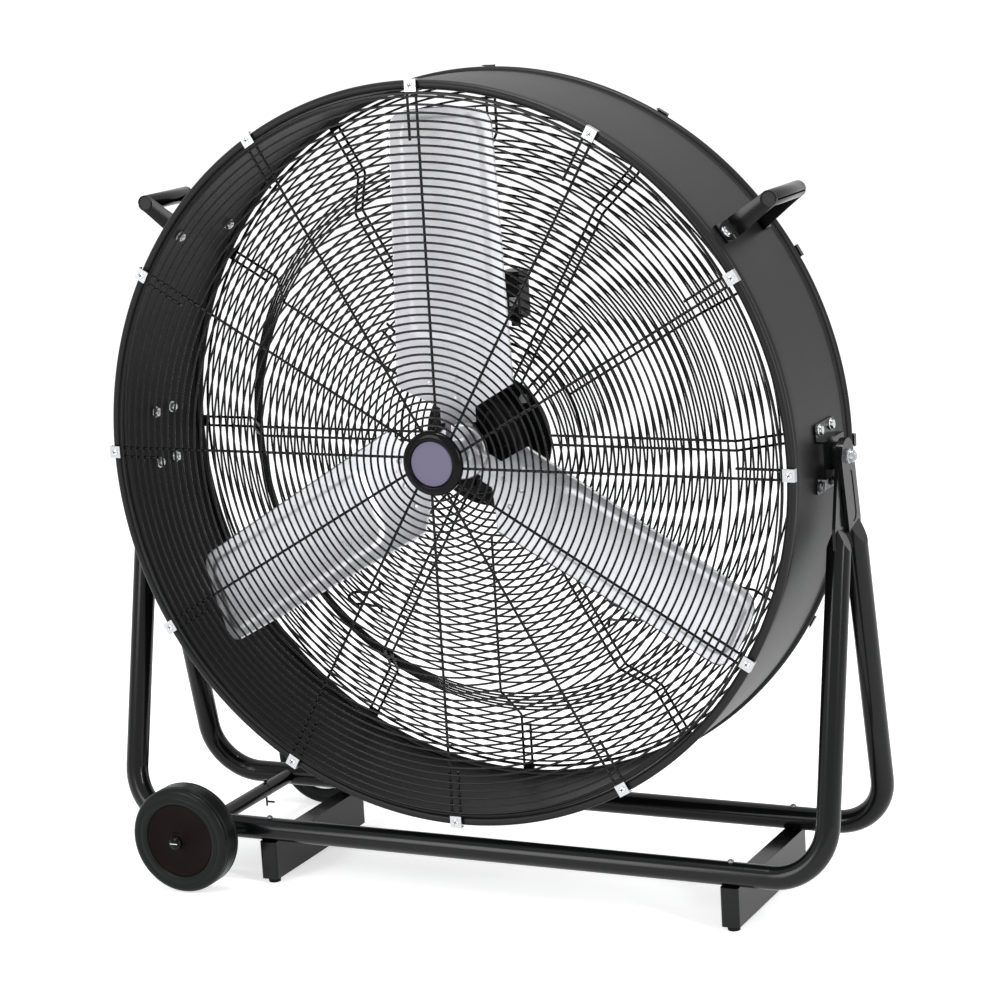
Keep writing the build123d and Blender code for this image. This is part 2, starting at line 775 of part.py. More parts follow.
rivet_polar = [(rivet_circle, -rivet_spread), (rivet_circle, 0), (rivet_circle, rivet_spread),
               (inner_rivet_circle, 0)]
rivet_spots = [(r * sin(radians(a)), r * cos(radians(a))) for r, a in rivet_polar]
reach_both = blade_chord / 4


def blade_panel(angle):
    """The raised rounded panel pressed into the blade, as a part of its own."""
    outer = blade_tip - panel_outer_margin
    half = chord_half - panel_side_margin
    with BuildPart(mode=Mode.PRIVATE) as raised:
        with BuildSketch(section_frame(angle, 0)):
            cambered_strip(panel_rise, panel_rise + blade_thickness / 2, half + trim_margin)
        extrude(amount=-blade_tip)
        with BuildSketch(blade_frame(angle, 0)):
            with Locations((0, (panel_inner + outer) / 2)):
                RectangleRounded(2 * half, outer - panel_inner, panel_round)
        extrude(amount=reach_both, both=True, mode=Mode.INTERSECT)
    return raised.part


def make_blade(angle):
    panel = blade_panel(angle)
    with BuildPart() as blade:
        with BuildSketch(section_frame(angle, 0)):
            cambered_strip(0, blade_thickness, shoulder_half + trim_margin)
        extrude(amount=-(blade_tip + trim_margin))
        with BuildSketch(blade_frame(angle, 0)) as outline:
            blade_outline()
            fillet(outline.vertices().group_by(Axis.Y)[-1], radius=tip_round)
        extrude(amount=reach_both, both=True, mode=Mode.INTERSECT)
        add(panel)
        with BuildSketch(blade_frame(angle, 0)):
            with Locations(*rivet_spots):
                Circle(rivet_radius + rivet_gap)
        extrude(amount=reach_both, both=True, mode=Mode.SUBTRACT)
    return blade


blade_angles = [360 / blade_count * i for i in range(blade_count)]
for number, angle in enumerate(blade_angles, start=1):
    save(make_blade(angle), f"blade_{number}")


def arm_outline():
    with BuildLine() as outline:
        Polyline(
            (-arm_neck_half, 0),
            (arm_neck_half, 0),
            (arm_neck_half, arm_flare_start),
            (arm_end_half, arm_flare_end),
            (arm_end_half, arm_end_radius - arm_corner),
            (arm_end_half - arm_corner, arm_end_radius),
            (arm_corner - arm_end_half, arm_end_radius),
            (-arm_end_half, arm_end_radius - arm_corner),
            (-arm_end_half, arm_flare_end),
            (-arm_neck_half, arm_flare_start),
            close=True)
    make_face(outline.edges())


def hub_arm(angle):
    """One arm of the hub, lying behind its blade and curved like it."""
    with BuildPart(mode=Mode.PRIVATE) as arm:
        with BuildSketch(section_frame(angle, 0)):
            cambered_strip(-blade_thickness - arm_gap, arm_thickness, arm_end_half + trim_margin)
        extrude(amount=-(arm_end_radius + trim_margin))
        with BuildSketch(blade_frame(angle, 0)):
            arm_outline()
        extrude(amount=reach_both, both=True, mode=Mode.INTERSECT)
    return arm.part


hub_arms = [hub_arm(angle) for angle in blade_angles]
set_screw_y = hub_middle - (hub_boss_length + hub_disc_thickness) / 4
with BuildPart() as hub:
    with BuildSketch(front_plane(hub_middle)):
        Circle(hub_disc_radius)
    extrude(amount=hub_disc_thickness / 2, both=True)
    fillet(hub.edges().filter_by(GeomType.CIRCLE), radius=hub_disc_round)
    with BuildSketch(front_plane(hub_middle)):
        Circle(hub_boss_radius)
    extrude(amount=hub_boss_length / 2, both=True)
    for arm_part in hub_arms:
        add(arm_part)
    with BuildSketch(front_plane(hub_middle)):
        Circle(shaft_radius + thread_gap)
    extrude(amount=hub_boss_length, both=True, mode=Mode.SUBTRACT)
    with BuildSketch(radial_plane(0, shaft_radius, set_screw_y)):
        Circle(set_screw_radius + thread_gap)
    extrude(amount=hub_boss_radius, mode=Mode.SUBTRACT)
    for angle in blade_angles:
        with BuildSketch(blade_frame(angle, 0)):
            with Locations(*rivet_spots):
                Circle(rivet_radius + rivet_gap)
        extrude(amount=reach_both, both=True, mode=Mode.SUBTRACT)
save(hub, "hub")

with BuildPart() as hub_set_screw:
    with BuildSketch(radial_plane(0, shaft_radius + seat_gap, set_screw_y)):
        Circle(set_screw_radius)
    extrude(amount=set_screw_length)
save(hub_set_screw, "hub_set_screw")


def camber_depth(across):
    """How far towards the front a cambered face lies at a distance from mid chord."""
    return camber_radius - sqrt(camber_radius ** 2 - across ** 2)


with BuildPart() as blade_rivets:
    for angle in blade_angles:
        for spot in rivet_spots:
            depth = camber_depth(abs(spot[0]) + rivet_head_radius)
            front = blade_frame(angle, 0).offset(depth + rivet_gap)
            back = blade_frame(angle, 0).offset(camber_depth(max(abs(spot[0]) - rivet_head_radius, 0))
                                                - blade_thickness - arm_gap - arm_thickness - rivet_gap)
            with BuildSketch(front):
                with Locations(spot):
                    Circle(rivet_head_radius)
            extrude(amount=rivet_head_height, taper=30)
            with BuildSketch(back):
                with Locations(spot):
                    Circle(rivet_radius)
            extrude(amount=(front.origin - back.origin).length + rivet_gap)
            with BuildSketch(back):
                with Locations(spot):
                    Circle(rivet_head_radius)
            extrude(amount=-rivet_head_height, taper=30)
save(blade_rivets, "blade_rivets")


# ---------------------------------------------------------------- switch box
box_front = recess_y + ring_offset + ring_wire + seat_gap
box_rear = box_front + switch_depth
knob_z = switch_z + knob_shift


def fan_spot(x, z, y, outward):
    """Plane across the fan axis at a place given from the axis."""
    return Plane(origin=fan_origin + Vector(x, y, z), x_dir=(-outward, 0, 0), z_dir=(0, outward, 0))


def ring_gap_height(x, height):
    """Height above the axis, at a place across, of the ring gap nearest to a height."""
    index = round((hypot(x, height) - first_rear_ring) / ring_pitch - 0.5)
    radius = first_rear_ring + (index + 0.5) * ring_pitch
    return sqrt(radius ** 2 - x ** 2)


screw_x = switch_x + switch_screw_side
screw_z = ring_gap_height(screw_x, switch_z - switch_screw_drop)

with BuildPart() as switch_box:
    with BuildSketch(fan_spot(switch_x, switch_z, box_front, 1)):
        RectangleRounded(switch_width, switch_height, switch_wall)
    extrude(amount=switch_depth)
    with BuildSketch(fan_spot(switch_x, switch_z, box_front + switch_wall, 1)):
        Rectangle(switch_width - 2 * switch_wall, switch_height - 2 * switch_wall)
    extrude(amount=switch_depth, mode=Mode.SUBTRACT)
    with BuildSketch(fan_spot(screw_x, screw_z, box_front, 1)):
        Circle(switch_screw_radius + clearance_hole)
    extrude(amount=2 * switch_wall, both=True, mode=Mode.SUBTRACT)
    # hole for the cable gland in the bottom wall
    with BuildSketch(Plane(origin=fan_origin + Vector(switch_x, (box_front + box_rear) / 2,
                                                      switch_z - switch_height / 2))):
        Circle(gland_thread + thread_gap)
    extrude(amount=2 * switch_wall, both=True, mode=Mode.SUBTRACT)
save(switch_box, "switch_box")

with BuildPart() as switch_cover:
    with BuildSketch(fan_spot(switch_x, switch_z, box_rear + seat_gap, 1)):
        RectangleRounded(switch_width, switch_height, switch_wall)
    extrude(amount=switch_cover_thickness)
    with BuildSketch(fan_spot(switch_x, knob_z, box_rear, 1)):
        Circle(knob_stem + shaft_fit)
    extrude(amount=2 * switch_cover_thickness, both=True, mode=Mode.SUBTRACT)
save(switch_cover, "switch_cover")

knob_seat = box_rear + seat_gap + switch_cover_thickness + knob_gap
with BuildPart() as speed_knob:
    with BuildSketch(fan_spot(switch_x, knob_z, knob_seat, 1)):
        Circle(knob_radius)
    extrude(amount=knob_base)
    with BuildSketch(fan_spot(switch_x, knob_z, knob_seat, 1)):
        SlotOverall(2 * knob_radius - knob_gap, knob_grip_width, rotation=90)
    extrude(amount=knob_length)
    with BuildSketch(fan_spot(switch_x, knob_z, knob_seat, 1)):
        Circle(knob_stem)
    extrude(amount=-(switch_cover_thickness + knob_gap + 4 * switch_wall))
save(speed_knob, "speed_knob")

gland_plane = Plane(origin=fan_origin + Vector(switch_x, (box_front + box_rear) / 2,
                                               switch_z - switch_height / 2 - seat_gap))
with BuildPart() as cable_gland:
    with BuildSketch(gland_plane):
        RegularPolygon(radius=gland_radius, side_count=6)
    extrude(amount=-gland_length)
    with BuildSketch(gland_plane):
        Circle(gland_thread)
    extrude(amount=3 * switch_wall)
    with BuildSketch(gland_plane):
        Circle(gland_bore)
    extrude(amount=2 * gland_length, both=True, mode=Mode.SUBTRACT)
save(cable_gland, "cable_gland")

clamp_y = recess_y + ring_offset - ring_wire - seat_gap
with BuildPart() as switch_clamp:
    with BuildSketch(fan_spot(switch_x, switch_z, clamp_y, -1)):
        RectangleRounded(switch_width, clamp_height, switch_wall)
    extrude(amount=clamp_thickness)
    with BuildSketch(fan_spot(screw_x, screw_z, clamp_y, -1)):
        Circle(switch_screw_radius + clearance_hole)
    extrude(amount=2 * switch_wall, both=True, mode=Mode.SUBTRACT)
save(switch_clamp, "switch_clamp")

washer_seat = clamp_y - clamp_thickness - thread_gap
screw_seat = washer_seat - switch_washer_thickness - thread_gap
with BuildPart() as switch_screws:
    with BuildSketch(fan_spot(screw_x, screw_z, washer_seat, -1)) as washer:
        Rectangle(switch_washer, switch_washer)
        Circle(switch_screw_radius + thread_gap, mode=Mode.SUBTRACT)
    extrude(washer.sketch, amount=switch_washer_thickness)
    with BuildSketch(fan_spot(screw_x, screw_z, screw_seat, -1)) as head:
        Circle(2 * switch_screw_radius)
    extrude(head.sketch, amount=switch_screw_radius)
    with BuildSketch(fan_spot(screw_x, screw_z, screw_seat, -1)) as shank:
        Circle(switch_screw_radius)
    extrude(shank.sketch, amount=-(box_front + 2 * switch_wall - screw_seat))
save(switch_screws, "switch_screws")


# ---------------------------------------------------------------- cord hooks
hook_y = recess_y + ring_offset + ring_wire + hook_wire + wire_gap
with BuildPart() as cord_hooks:
    for angle in (hook_angle, 360 - hook_angle):
        hook_points = [
            clock(angle, hook_radius - hook_lip, hook_y),
            clock(angle, hook_radius, hook_y),
            clock(angle, hook_radius, hook_y + hook_reach),
            clock(angle, hook_radius + hook_lip, hook_y + hook_reach),
        ]
        with BuildLine() as hook_route:
            FilletPolyline(*hook_points, radius=hook_bend)
        with BuildSketch(Plane(origin=hook_points[0], z_dir=hook_points[1] - hook_points[0])) as wire:
            Circle(hook_wire)
        sweep(wire.sketch, path=hook_route.line)
save(cord_hooks, "cord_hooks")


# ---------------------------------------------------------------- handles
def handle_plane(side):
    """Plane across Y at a handle: local x along the rim, local y outwards."""
    a = radians(side * handle_angle)
    return Plane(origin=clock(side * handle_angle, shell_radius, handle_y),
                 x_dir=(cos(a), 0, -sin(a)), z_dir=(0, -1, 0))


def handle_side_plane(side):
    """Plane along the drum at a handle: local x along Y, local y outwards."""
    a = radians(side * handle_angle)
    return Plane(origin=clock(side * handle_angle, shell_radius, handle_y),
                 x_dir=(0, 1, 0), z_dir=(cos(a), 0, -sin(a)))


foot_end = handle_foot_half + handle_foot_length / 2
foot_top = wire_gap + handle_thickness
for side, side_name in ((1, "right"), (-1, "left")):
    with BuildPart() as handle:
        with BuildSketch(handle_side_plane(side)):
            for end in (1, -1):
                with BuildLine() as strap:
                    Polyline(
                        (end * foot_end, wire_gap),
                        (end * foot_end, foot_top),
                        (end * handle_span_half, foot_top),
                        (end * handle_span_half, handle_rise),
                        (end * (handle_span_half - handle_thickness), handle_rise),
                        (end * (handle_span_half - handle_thickness), wire_gap),
                        close=True)
                make_face(strap.edges())
        extrude(amount=handle_width / 2, both=True)
        for shift in (-handle_foot_half, handle_foot_half):
            with BuildSketch(radial_plane(side * handle_angle, shell_radius, handle_y + shift)):
                Circle(drum_bolt_radius + clearance_hole)
            extrude(amount=3 * handle_thickness, both=True, mode=Mode.SUBTRACT)
        # the grip is clear inside, so the straps stop at its wall
        with BuildSketch(handle_plane(side)) as bore:
            with Locations((0, handle_rise)):
                Circle(grip_radius - grip_wall)
        extrude(bore.sketch, amount=foot_end, both=True, mode=Mode.SUBTRACT)
        # rolled grip, open along a seam that faces the top of the fan
        seam = radians(90 + side * grip_seam_turn)
        with BuildSketch(handle_plane(side)) as grip:
            with Locations((0, handle_rise)):
                Circle(grip_radius)
                Circle(grip_radius - grip_wall, mode=Mode.SUBTRACT)
            with Locations((grip_radius * cos(seam), handle_rise + grip_radius * sin(seam))):
                Rectangle(grip_radius, grip_slot, rotation=degrees(seam), mode=Mode.SUBTRACT)
        extrude(grip.sketch, amount=handle_span_half + grip_wall / 2, both=True)
    save(handle, f"handle_{side_name}")


# ---------------------------------------------------------------- pivot brackets
hat_foot_end = hat_half_height + hat_foot
hat_foot_inner = shell_radius + wire_gap
hat_blank_half = hat_plate_half + hat_corner    # the bent blank is trimmed to its rounded outline
with BuildPart() as pivot_bracket_right:
    with BuildSketch(front_plane(hat_blank_half)):
        Circle(hat_foot_inner + hat_thickness)
        with Locations((shell_radius, 0)):
            Rectangle(2 * hat_standoff, 2 * (hat_foot_end + hat_corner), mode=Mode.INTERSECT)
        with Locations((hat_plate_outer / 2, 0)):
            Rectangle(hat_plate_outer, 2 * hat_half_height)
        with Locations((hat_plate_inner / 2, 0)):
            Rectangle(hat_plate_inner, 2 * (hat_half_height - hat_thickness), mode=Mode.SUBTRACT)
        Circle(hat_foot_inner, mode=Mode.SUBTRACT)
    extrude(amount=2 * hat_blank_half)
    # rounded corners, seen from the side
    with BuildSketch(side_spot(hat_plate_inner, 0, 0, 1, 1)):
        RectangleRounded(2 * hat_plate_half, 2 * hat_foot_end, hat_corner)
    extrude(amount=2 * hat_standoff, both=True, mode=Mode.INTERSECT)
    with BuildSketch(side_spot(hat_plate_inner, 0, 0, 1, 1)):
        Circle(pivot_radius + pivot_fit)
    extrude(amount=hat_standoff, both=True, mode=Mode.SUBTRACT)
    for angle, bolt_y in bracket_bolt_spots:
        with BuildSketch(radial_plane(angle, shell_radius, bolt_y)):
            Circle(drum_bolt_radius + clearance_hole)
        extrude(amount=hat_standoff, mode=Mode.SUBTRACT)
save(pivot_bracket_right, "pivot_bracket_right")

with BuildPart() as pivot_bracket_left:
    mirror(pivot_bracket_right.part, about=Plane.YZ)
save(pivot_bracket_left, "pivot_bracket_left")

nut_seat = shell_inner - seat_gap
seats = [(hat_foot_inner + hat_thickness + thread_gap, bracket_bolt_spots),
         (shell_radius + foot_top + thread_gap, handle_bolt_spots)]
with BuildPart() as drum_bolts:
    for bolt_seat, spots in seats:
        for angle, bolt_y in spots:
            hex_bolt(radial_plane(angle, bolt_seat, bolt_y), m8_head_radius, m8_head_height,
                     drum_bolt_radius, drum_bolt_length)
save(drum_bolts, "drum_bolts")

with BuildPart() as drum_nuts:
    for angle, bolt_y in bracket_bolt_spots + handle_bolt_spots:
        hex_nut(facing_in(radial_plane(angle, nut_seat, bolt_y)), m8_head_radius, m8_nut_height,
                drum_bolt_radius + thread_gap)
save(drum_nuts, "drum_nuts")


# ---------------------------------------------------------------- stand hoops
def axle_plane(y, facing=1):
    """Plane across the axle."""
    return Plane(origin=stand_spot(axle_x, y, tube_height), x_dir=(1, 0, 0), z_dir=(0, facing, 0))


def hoop_plane(toward):
    """Plane of a leaning hoop through the pivot axis; toward -1 is the front hoop."""
    lean = radians(hoop_lean)
    return Plane(origin=fan_origin, x_dir=(1, 0, 0), z_dir=(0, -cos(lean), -toward * sin(lean)))


def leg_root(toward, x):
    """Where a round leg runs out into its flattened end, cut slantwise on both faces."""
    plane = hoop_plane(toward)
    blend_end = flat_length + flat_blend
    with BuildPart(mode=Mode.PRIVATE) as root:
        with BuildSketch(plane) as wedge:
            with BuildLine() as outline:
                Polyline(
                    (x - flat_thickness / 2, -flat_length),
                    (x + flat_thickness / 2, -flat_length),
                    (x + tube_radius, -blend_end),
                    (x - tube_radius, -blend_end),
                    close=True)
            make_face(outline.edges())
        extrude(wedge.sketch, amount=tube_radius, both=True)
        with BuildSketch(Plane(origin=fan_origin + Vector(x, 0, 0), x_dir=(1, 0, 0),
                               z_dir=plane.y_dir)) as leg:
            Circle(tube_radius)
        extrude(leg.sketch, amount=-hoop_reach, mode=Mode.INTERSECT)
    return root.part


def make_hoop(toward, leg_x):
    plane = hoop_plane(toward)
    blend_end = flat_length + flat_blend
    corners = [(-leg_x, -blend_end), (-leg_x, -hoop_reach), (leg_x, -hoop_reach), (leg_x, -blend_end)]
    roots = [leg_root(toward, side * leg_x) for side in (1, -1)]
    with BuildPart() as hoop:
        with BuildLine(plane) as route:
            FilletPolyline(*corners, radius=hoop_bend)
        with BuildSketch(Plane(origin=route.line @ 0, z_dir=route.line % 0)) as section:
            Circle(tube_radius)
            Circle(tube_radius - tube_wall, mode=Mode.SUBTRACT)
        sweep(section.sketch, path=route.line)
        for root in roots:
            add(root)
        for side in (1, -1):
            # flattened end, narrowing to the round leg, in the plane of the other hoop's
            flat = Plane(origin=fan_origin + Vector(side * leg_x, 0, 0), x_dir=plane.y_dir,
                         z_dir=(1, 0, 0))
            with BuildSketch(flat) as flat_outline:
                Circle(flat_half_width)
                with Locations((-flat_length / 2, 0)):
                    Rectangle(flat_length, 2 * flat_half_width)
                with BuildLine() as taper:
                    Polyline(
                        (-flat_length, flat_half_width),
                        (-blend_end, tube_radius),
                        (-blend_end, -tube_radius),
                        (-flat_length, -flat_half_width),
                        close=True)
                make_face(taper.edges())
                Circle(pivot_radius + thread_gap, mode=Mode.SUBTRACT)
            extrude(flat_outline.sketch, amount=flat_thickness / 2, both=True)
            groove_face = flat.offset(side * flat_thickness / 2)
            with BuildSketch(groove_face) as groove:
                with Locations((-(flat_groove_start + flat_groove_end) / 2, 0)):
                    SlotOverall(flat_groove_end - flat_groove_start, flat_groove_width)
            extrude(groove.sketch, amount=flat_groove_depth, both=True, mode=Mode.SUBTRACT)
        for channel_x in (channel_left, channel_right):
            bolt_spot = Plane(origin=stand_spot(channel_x, toward * hoop_half_depth, tube_height))
            with BuildSketch(bolt_spot) as bolt_hole:
                Circle(channel_bolt_radius + clearance_hole)
            extrude(bolt_hole.sketch, amount=2 * tube_radius, both=True, mode=Mode.SUBTRACT)
        with BuildSketch(axle_plane(toward * hoop_half_depth)) as axle_hole:
            Circle(axle_radius + thread_gap)
        extrude(axle_hole.sketch, amount=2 * tube_radius, both=True, mode=Mode.SUBTRACT)
    return hoop


save(make_hoop(-1, front_leg_x), "front_hoop")
save(make_hoop(1, rear_leg_x), "rear_hoop")


# ---------------------------------------------------------------- pivot hardware
pivot_head_seat = hat_plate_inner - turn_gap
nut_outer = nut_inner + pivot_nut_height
with BuildPart() as pivot_bolts:
    for side in (1, -1):
        hex_bolt(side_spot(pivot_head_seat, 0, 0, side, -1), pivot_head_radius, pivot_head_height,
                 pivot_radius, nut_outer + bolt_tail - pivot_head_seat)
save(pivot_bolts, "pivot_bolts")

with BuildPart() as pivot_nuts:
    for side in (1, -1):
        hex_nut(side_spot(nut_inner, 0, 0, side, 1), pivot_head_radius, pivot_nut_height,
                pivot_radius + thread_gap)
save(pivot_nuts, "pivot_nuts")


def pivot_ring(inner_x, radius, thickness):
    """A ring on each pivot bolt."""
    for side in (1, -1):
        with BuildSketch(side_spot(inner_x, 0, 0, side, 1)) as ring:
            Circle(radius)
            Circle(pivot_radius + thread_gap, mode=Mode.SUBTRACT)
        extrude(ring.sketch, amount=thickness)


with BuildPart() as pivot_spacers:
    pivot_ring(spacer_inner, spacer_radius, spacer_thickness)
save(pivot_spacers, "pivot_spacers")

with BuildPart() as pivot_washers:
    pivot_ring(washer_inner, pivot_washer_radius, pivot_washer_thickness)
save(pivot_washers, "pivot_washers")


# ---------------------------------------------------------------- cross channels
feet_y = (foot_inset - channel_half_length, channel_half_length - foot_inset)
for channel_x, side_name in ((channel_left, "left"), (channel_right, "right")):
    with BuildPart() as channel:
        with BuildSketch(Plane(origin=stand_spot(channel_x, 0, foot_height))):
            RectangleRounded(channel_width, 2 * channel_half_length, channel_round)
        extrude(amount=channel_top - foot_height)
        with BuildSketch(Plane(origin=stand_spot(channel_x, 0, foot_height + channel_wall))):
            RectangleRounded(channel_width - 2 * channel_wall,
                             2 * (channel_half_length - channel_wall), channel_round - channel_wall)
        extrude(amount=channel_top - foot_height - 2 * channel_wall, mode=Mode.SUBTRACT)
        with BuildSketch(Plane(origin=stand_spot(channel_x, 0, foot_height))):
            SlotOverall(channel_slot_length, channel_slot_width, rotation=90)
        extrude(amount=channel_wall, mode=Mode.SUBTRACT)
        for bolt_y in (-hoop_half_depth, hoop_half_depth):
            with BuildSketch(Plane(origin=stand_spot(channel_x, bolt_y, channel_top))):
                Circle(channel_bolt_radius + clearance_hole)
            extrude(amount=2 * channel_wall, both=True, mode=Mode.SUBTRACT)
        for foot_y in feet_y:
            with BuildSketch(Plane(origin=stand_spot(channel_x, foot_y, foot_height))):
                Circle(foot_screw_radius + thread_gap)
            extrude(amount=2 * channel_wall, both=True, mode=Mode.SUBTRACT)
    save(channel, f"channel_{side_name}")

channel_spots = [(x, y) for x in (channel_left, channel_right)
                 for y in (-hoop_half_depth, hoop_half_depth)]
tube_top = tube_height + tube_radius + tube_seat_gap
channel_nut_top = channel_top - channel_wall - seat_gap
with BuildPart() as channel_bolts:
    for spot_x, spot_y in channel_spots:
        hex_bolt(Plane(origin=stand_spot(spot_x, spot_y, tube_top)), channel_bolt_head,
                 channel_bolt_head_height, channel_bolt_radius,
                 tube_top - channel_nut_top + channel_bolt_head + bolt_tail)
save(channel_bolts, "channel_bolts")

with BuildPart() as channel_nuts:
    for spot_x, spot_y in channel_spots:
        hex_nut(Plane(origin=stand_spot(spot_x, spot_y, channel_nut_top - channel_bolt_head)),
                channel_bolt_head, channel_bolt_head, channel_bolt_radius + thread_gap)
save(channel_nuts, "channel_nuts")

with BuildPart() as rubber_feet:
    for spot_x in (channel_left, channel_right):
        for foot_y in feet_y:
            with BuildSketch(Plane(origin=stand_spot(spot_x, foot_y, foot_height - thread_gap))) as foot:
                Circle(foot_radius)
            extrude(foot.sketch, amount=-(foot_height - thread_gap), taper=foot_taper)
            with BuildSketch(Plane(origin=stand_spot(spot_x, foot_y, foot_height - foot_sink))) as stem:
                Circle(foot_screw_radius)
            extrude(stem.sketch, amount=foot_stem)
save(rubber_feet, "rubber_feet")


# ---------------------------------------------------------------- axle and wheels
def wheel_inner(end):
    """Distance along Y from the pivot axis to the inner side of the front or rear wheel."""
    clearance = front_wheel_clearance if end < 0 else rear_wheel_clearance
    return hoop_half_depth + tube_radius + clearance


def hub_outer(end):
    """Distance along Y from the pivot axis to the outer end of a wheel's hub."""
    return wheel_inner(end) + wheel_width + hub_overhang


axle_tips = [hub_outer(end) + axle_end for end in (-1, 1)]
pin_y = sleeve_end + pin_inset
with BuildPart() as axle:
    with BuildSketch(axle_plane(-axle_tips[0])):
        Circle(axle_radius)
    extrude(amount=sum(axle_tips))
    with BuildSketch(Plane(origin=stand_spot(axle_x, pin_y, tube_height))):
        Circle(pin_radius + clearance_hole)
    extrude(amount=2 * axle_radius, both=True, mode=Mode.SUBTRACT)
save(axle, "axle")

tube_side = hoop_half_depth - tube_radius
with BuildPart() as axle_sleeves:
    with BuildSketch(axle_plane(seat_gap - tube_side)):
        Circle(sleeve_radius)
        Circle(axle_radius + axle_fit, mode=Mode.SUBTRACT)
    extrude(amount=sleeve_end + tube_side - seat_gap)
    with BuildSketch(axle_plane(sleeve_end + sleeve_seam)):
        Circle(sleeve_radius)
        Circle(axle_radius + axle_fit, mode=Mode.SUBTRACT)
    extrude(amount=tube_side - sleeve_end - sleeve_seam - seat_gap)
    with BuildSketch(Plane(origin=stand_spot(axle_x, pin_y, tube_height))):
        Circle(pin_radius + clearance_hole)
    extrude(amount=2 * sleeve_radius, both=True, mode=Mode.SUBTRACT)
save(axle_sleeves, "axle_sleeves")

pin_top = tube_height + sleeve_radius + pin_radius
with BuildPart() as axle_pin:
    with BuildSketch(Plane(origin=stand_spot(axle_x, pin_y, pin_top + 2 * pin_radius))):
        Circle(pin_radius)
    extrude(amount=-(2 * sleeve_radius + pin_length))
    with BuildSketch(Plane(origin=stand_spot(axle_x, pin_y, pin_top))):
        Circle(2 * pin_radius)
    extrude(amount=2 * pin_radius)
    leg_z = pin_top - 2 * sleeve_radius - pin_length / 2
    with BuildSketch(Plane(origin=stand_spot(axle_x, pin_y, leg_z), x_dir=(0, 1, 0),
                           z_dir=(1, 0, 0))):
        Circle(pin_radius)
    extrude(amount=pin_leg)
save(axle_pin, "axle_pin")

with BuildPart() as wheel_spacers:
    for end in (1, -1):
        tube_outside = hoop_half_depth + tube_radius + seat_gap
        with BuildSketch(axle_plane(end * tube_outside, end)) as spacer:
            Circle(sleeve_radius)
            Circle(axle_radius + axle_fit, mode=Mode.SUBTRACT)
        extrude(spacer.sketch, amount=wheel_inner(end) - wheel_side_gap - tube_outside)
save(wheel_spacers, "wheel_spacers")

with BuildPart() as axle_caps:
    for end in (1, -1):
        cap_seat = hub_outer(end) + wheel_side_gap
        with BuildSketch(axle_plane(end * cap_seat, end)) as cap:
            Circle(axle_cap_radius)
        extrude(cap.sketch, amount=axle_cap_height)
        with BuildSketch(axle_plane(end * cap_seat, end)) as cap_bore:
            Circle(axle_radius + thread_gap)
        extrude(cap_bore.sketch, amount=axle_end - wheel_side_gap + thread_gap, mode=Mode.SUBTRACT)
        with BuildSketch(axle_plane(end * (cap_seat + axle_cap_height), end)) as slot:
            Rectangle(2 * axle_cap_radius, cap_slot)
        extrude(slot.sketch, amount=-cap_slot, mode=Mode.SUBTRACT)
save(axle_caps, "axle_caps")


def wheel_plane():
    """Half plane through the axle: local x is the radius, local y runs forwards."""
    return Plane(origin=stand_spot(axle_x, 0, tube_height), x_dir=(1, 0, 0), z_dir=(0, 0, 1))


axle_line = Axis(stand_spot(axle_x, 0, tube_height), (0, 1, 0))
half_width = wheel_width / 2
wheel_bore = axle_radius + wheel_bore_fit
tyre_grooves = (-tyre_groove_spread, tyre_groove_spread)
for end, end_name in ((-1, "front"), (1, "rear")):
    wheel_middle = wheel_inner(end) + half_width
    hub_length = hub_outer(end) - wheel_inner(end)
    with BuildPart() as wheel_disc:
        with BuildSketch(wheel_plane()):
            with Locations(((wheel_hub_radius + wheel_bore) / 2,
                            end * (wheel_inner(end) + hub_length / 2))):
                Rectangle(wheel_hub_radius - wheel_bore, hub_length)
            for face in (1, -1):
                edge = end * wheel_middle + face * (half_width - disc_inset - disc_thickness / 2)
                with Locations(((wheel_bore + tyre_inner) / 2, edge)):
                    Rectangle(tyre_inner - wheel_bore, disc_thickness)
            with Locations((tyre_inner - disc_thickness / 2, end * wheel_middle)):
                Rectangle(disc_thickness, wheel_width - 2 * disc_inset)
        revolve(axis=axle_line, revolution_arc=360)
    save(wheel_disc, f"wheel_disc_{end_name}")

    with BuildPart() as tyre:
        with BuildSketch(wheel_plane()) as tyre_section:
            with Locations(((tyre_inner + thread_gap + wheel_radius) / 2, end * wheel_middle)):
                Rectangle(wheel_radius - tyre_inner - thread_gap, wheel_width)
            fillet(tyre_section.vertices().group_by(Axis.X)[-1], radius=tyre_round)
            with Locations(*[(wheel_radius, end * wheel_middle + spot) for spot in tyre_grooves]):
                Circle(tyre_groove_radius, mode=Mode.SUBTRACT)
            with Locations(*[(sidewall_groove_circle, end * wheel_middle + face * half_width)
                             for face in (1, -1)]):
                Circle(tyre_groove_radius, mode=Mode.SUBTRACT)
        revolve(axis=axle_line, revolution_arc=360)
    save(tyre, f"tyre_{end_name}")
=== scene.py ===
import json
import math

import bpy
from mathutils import Matrix, Vector


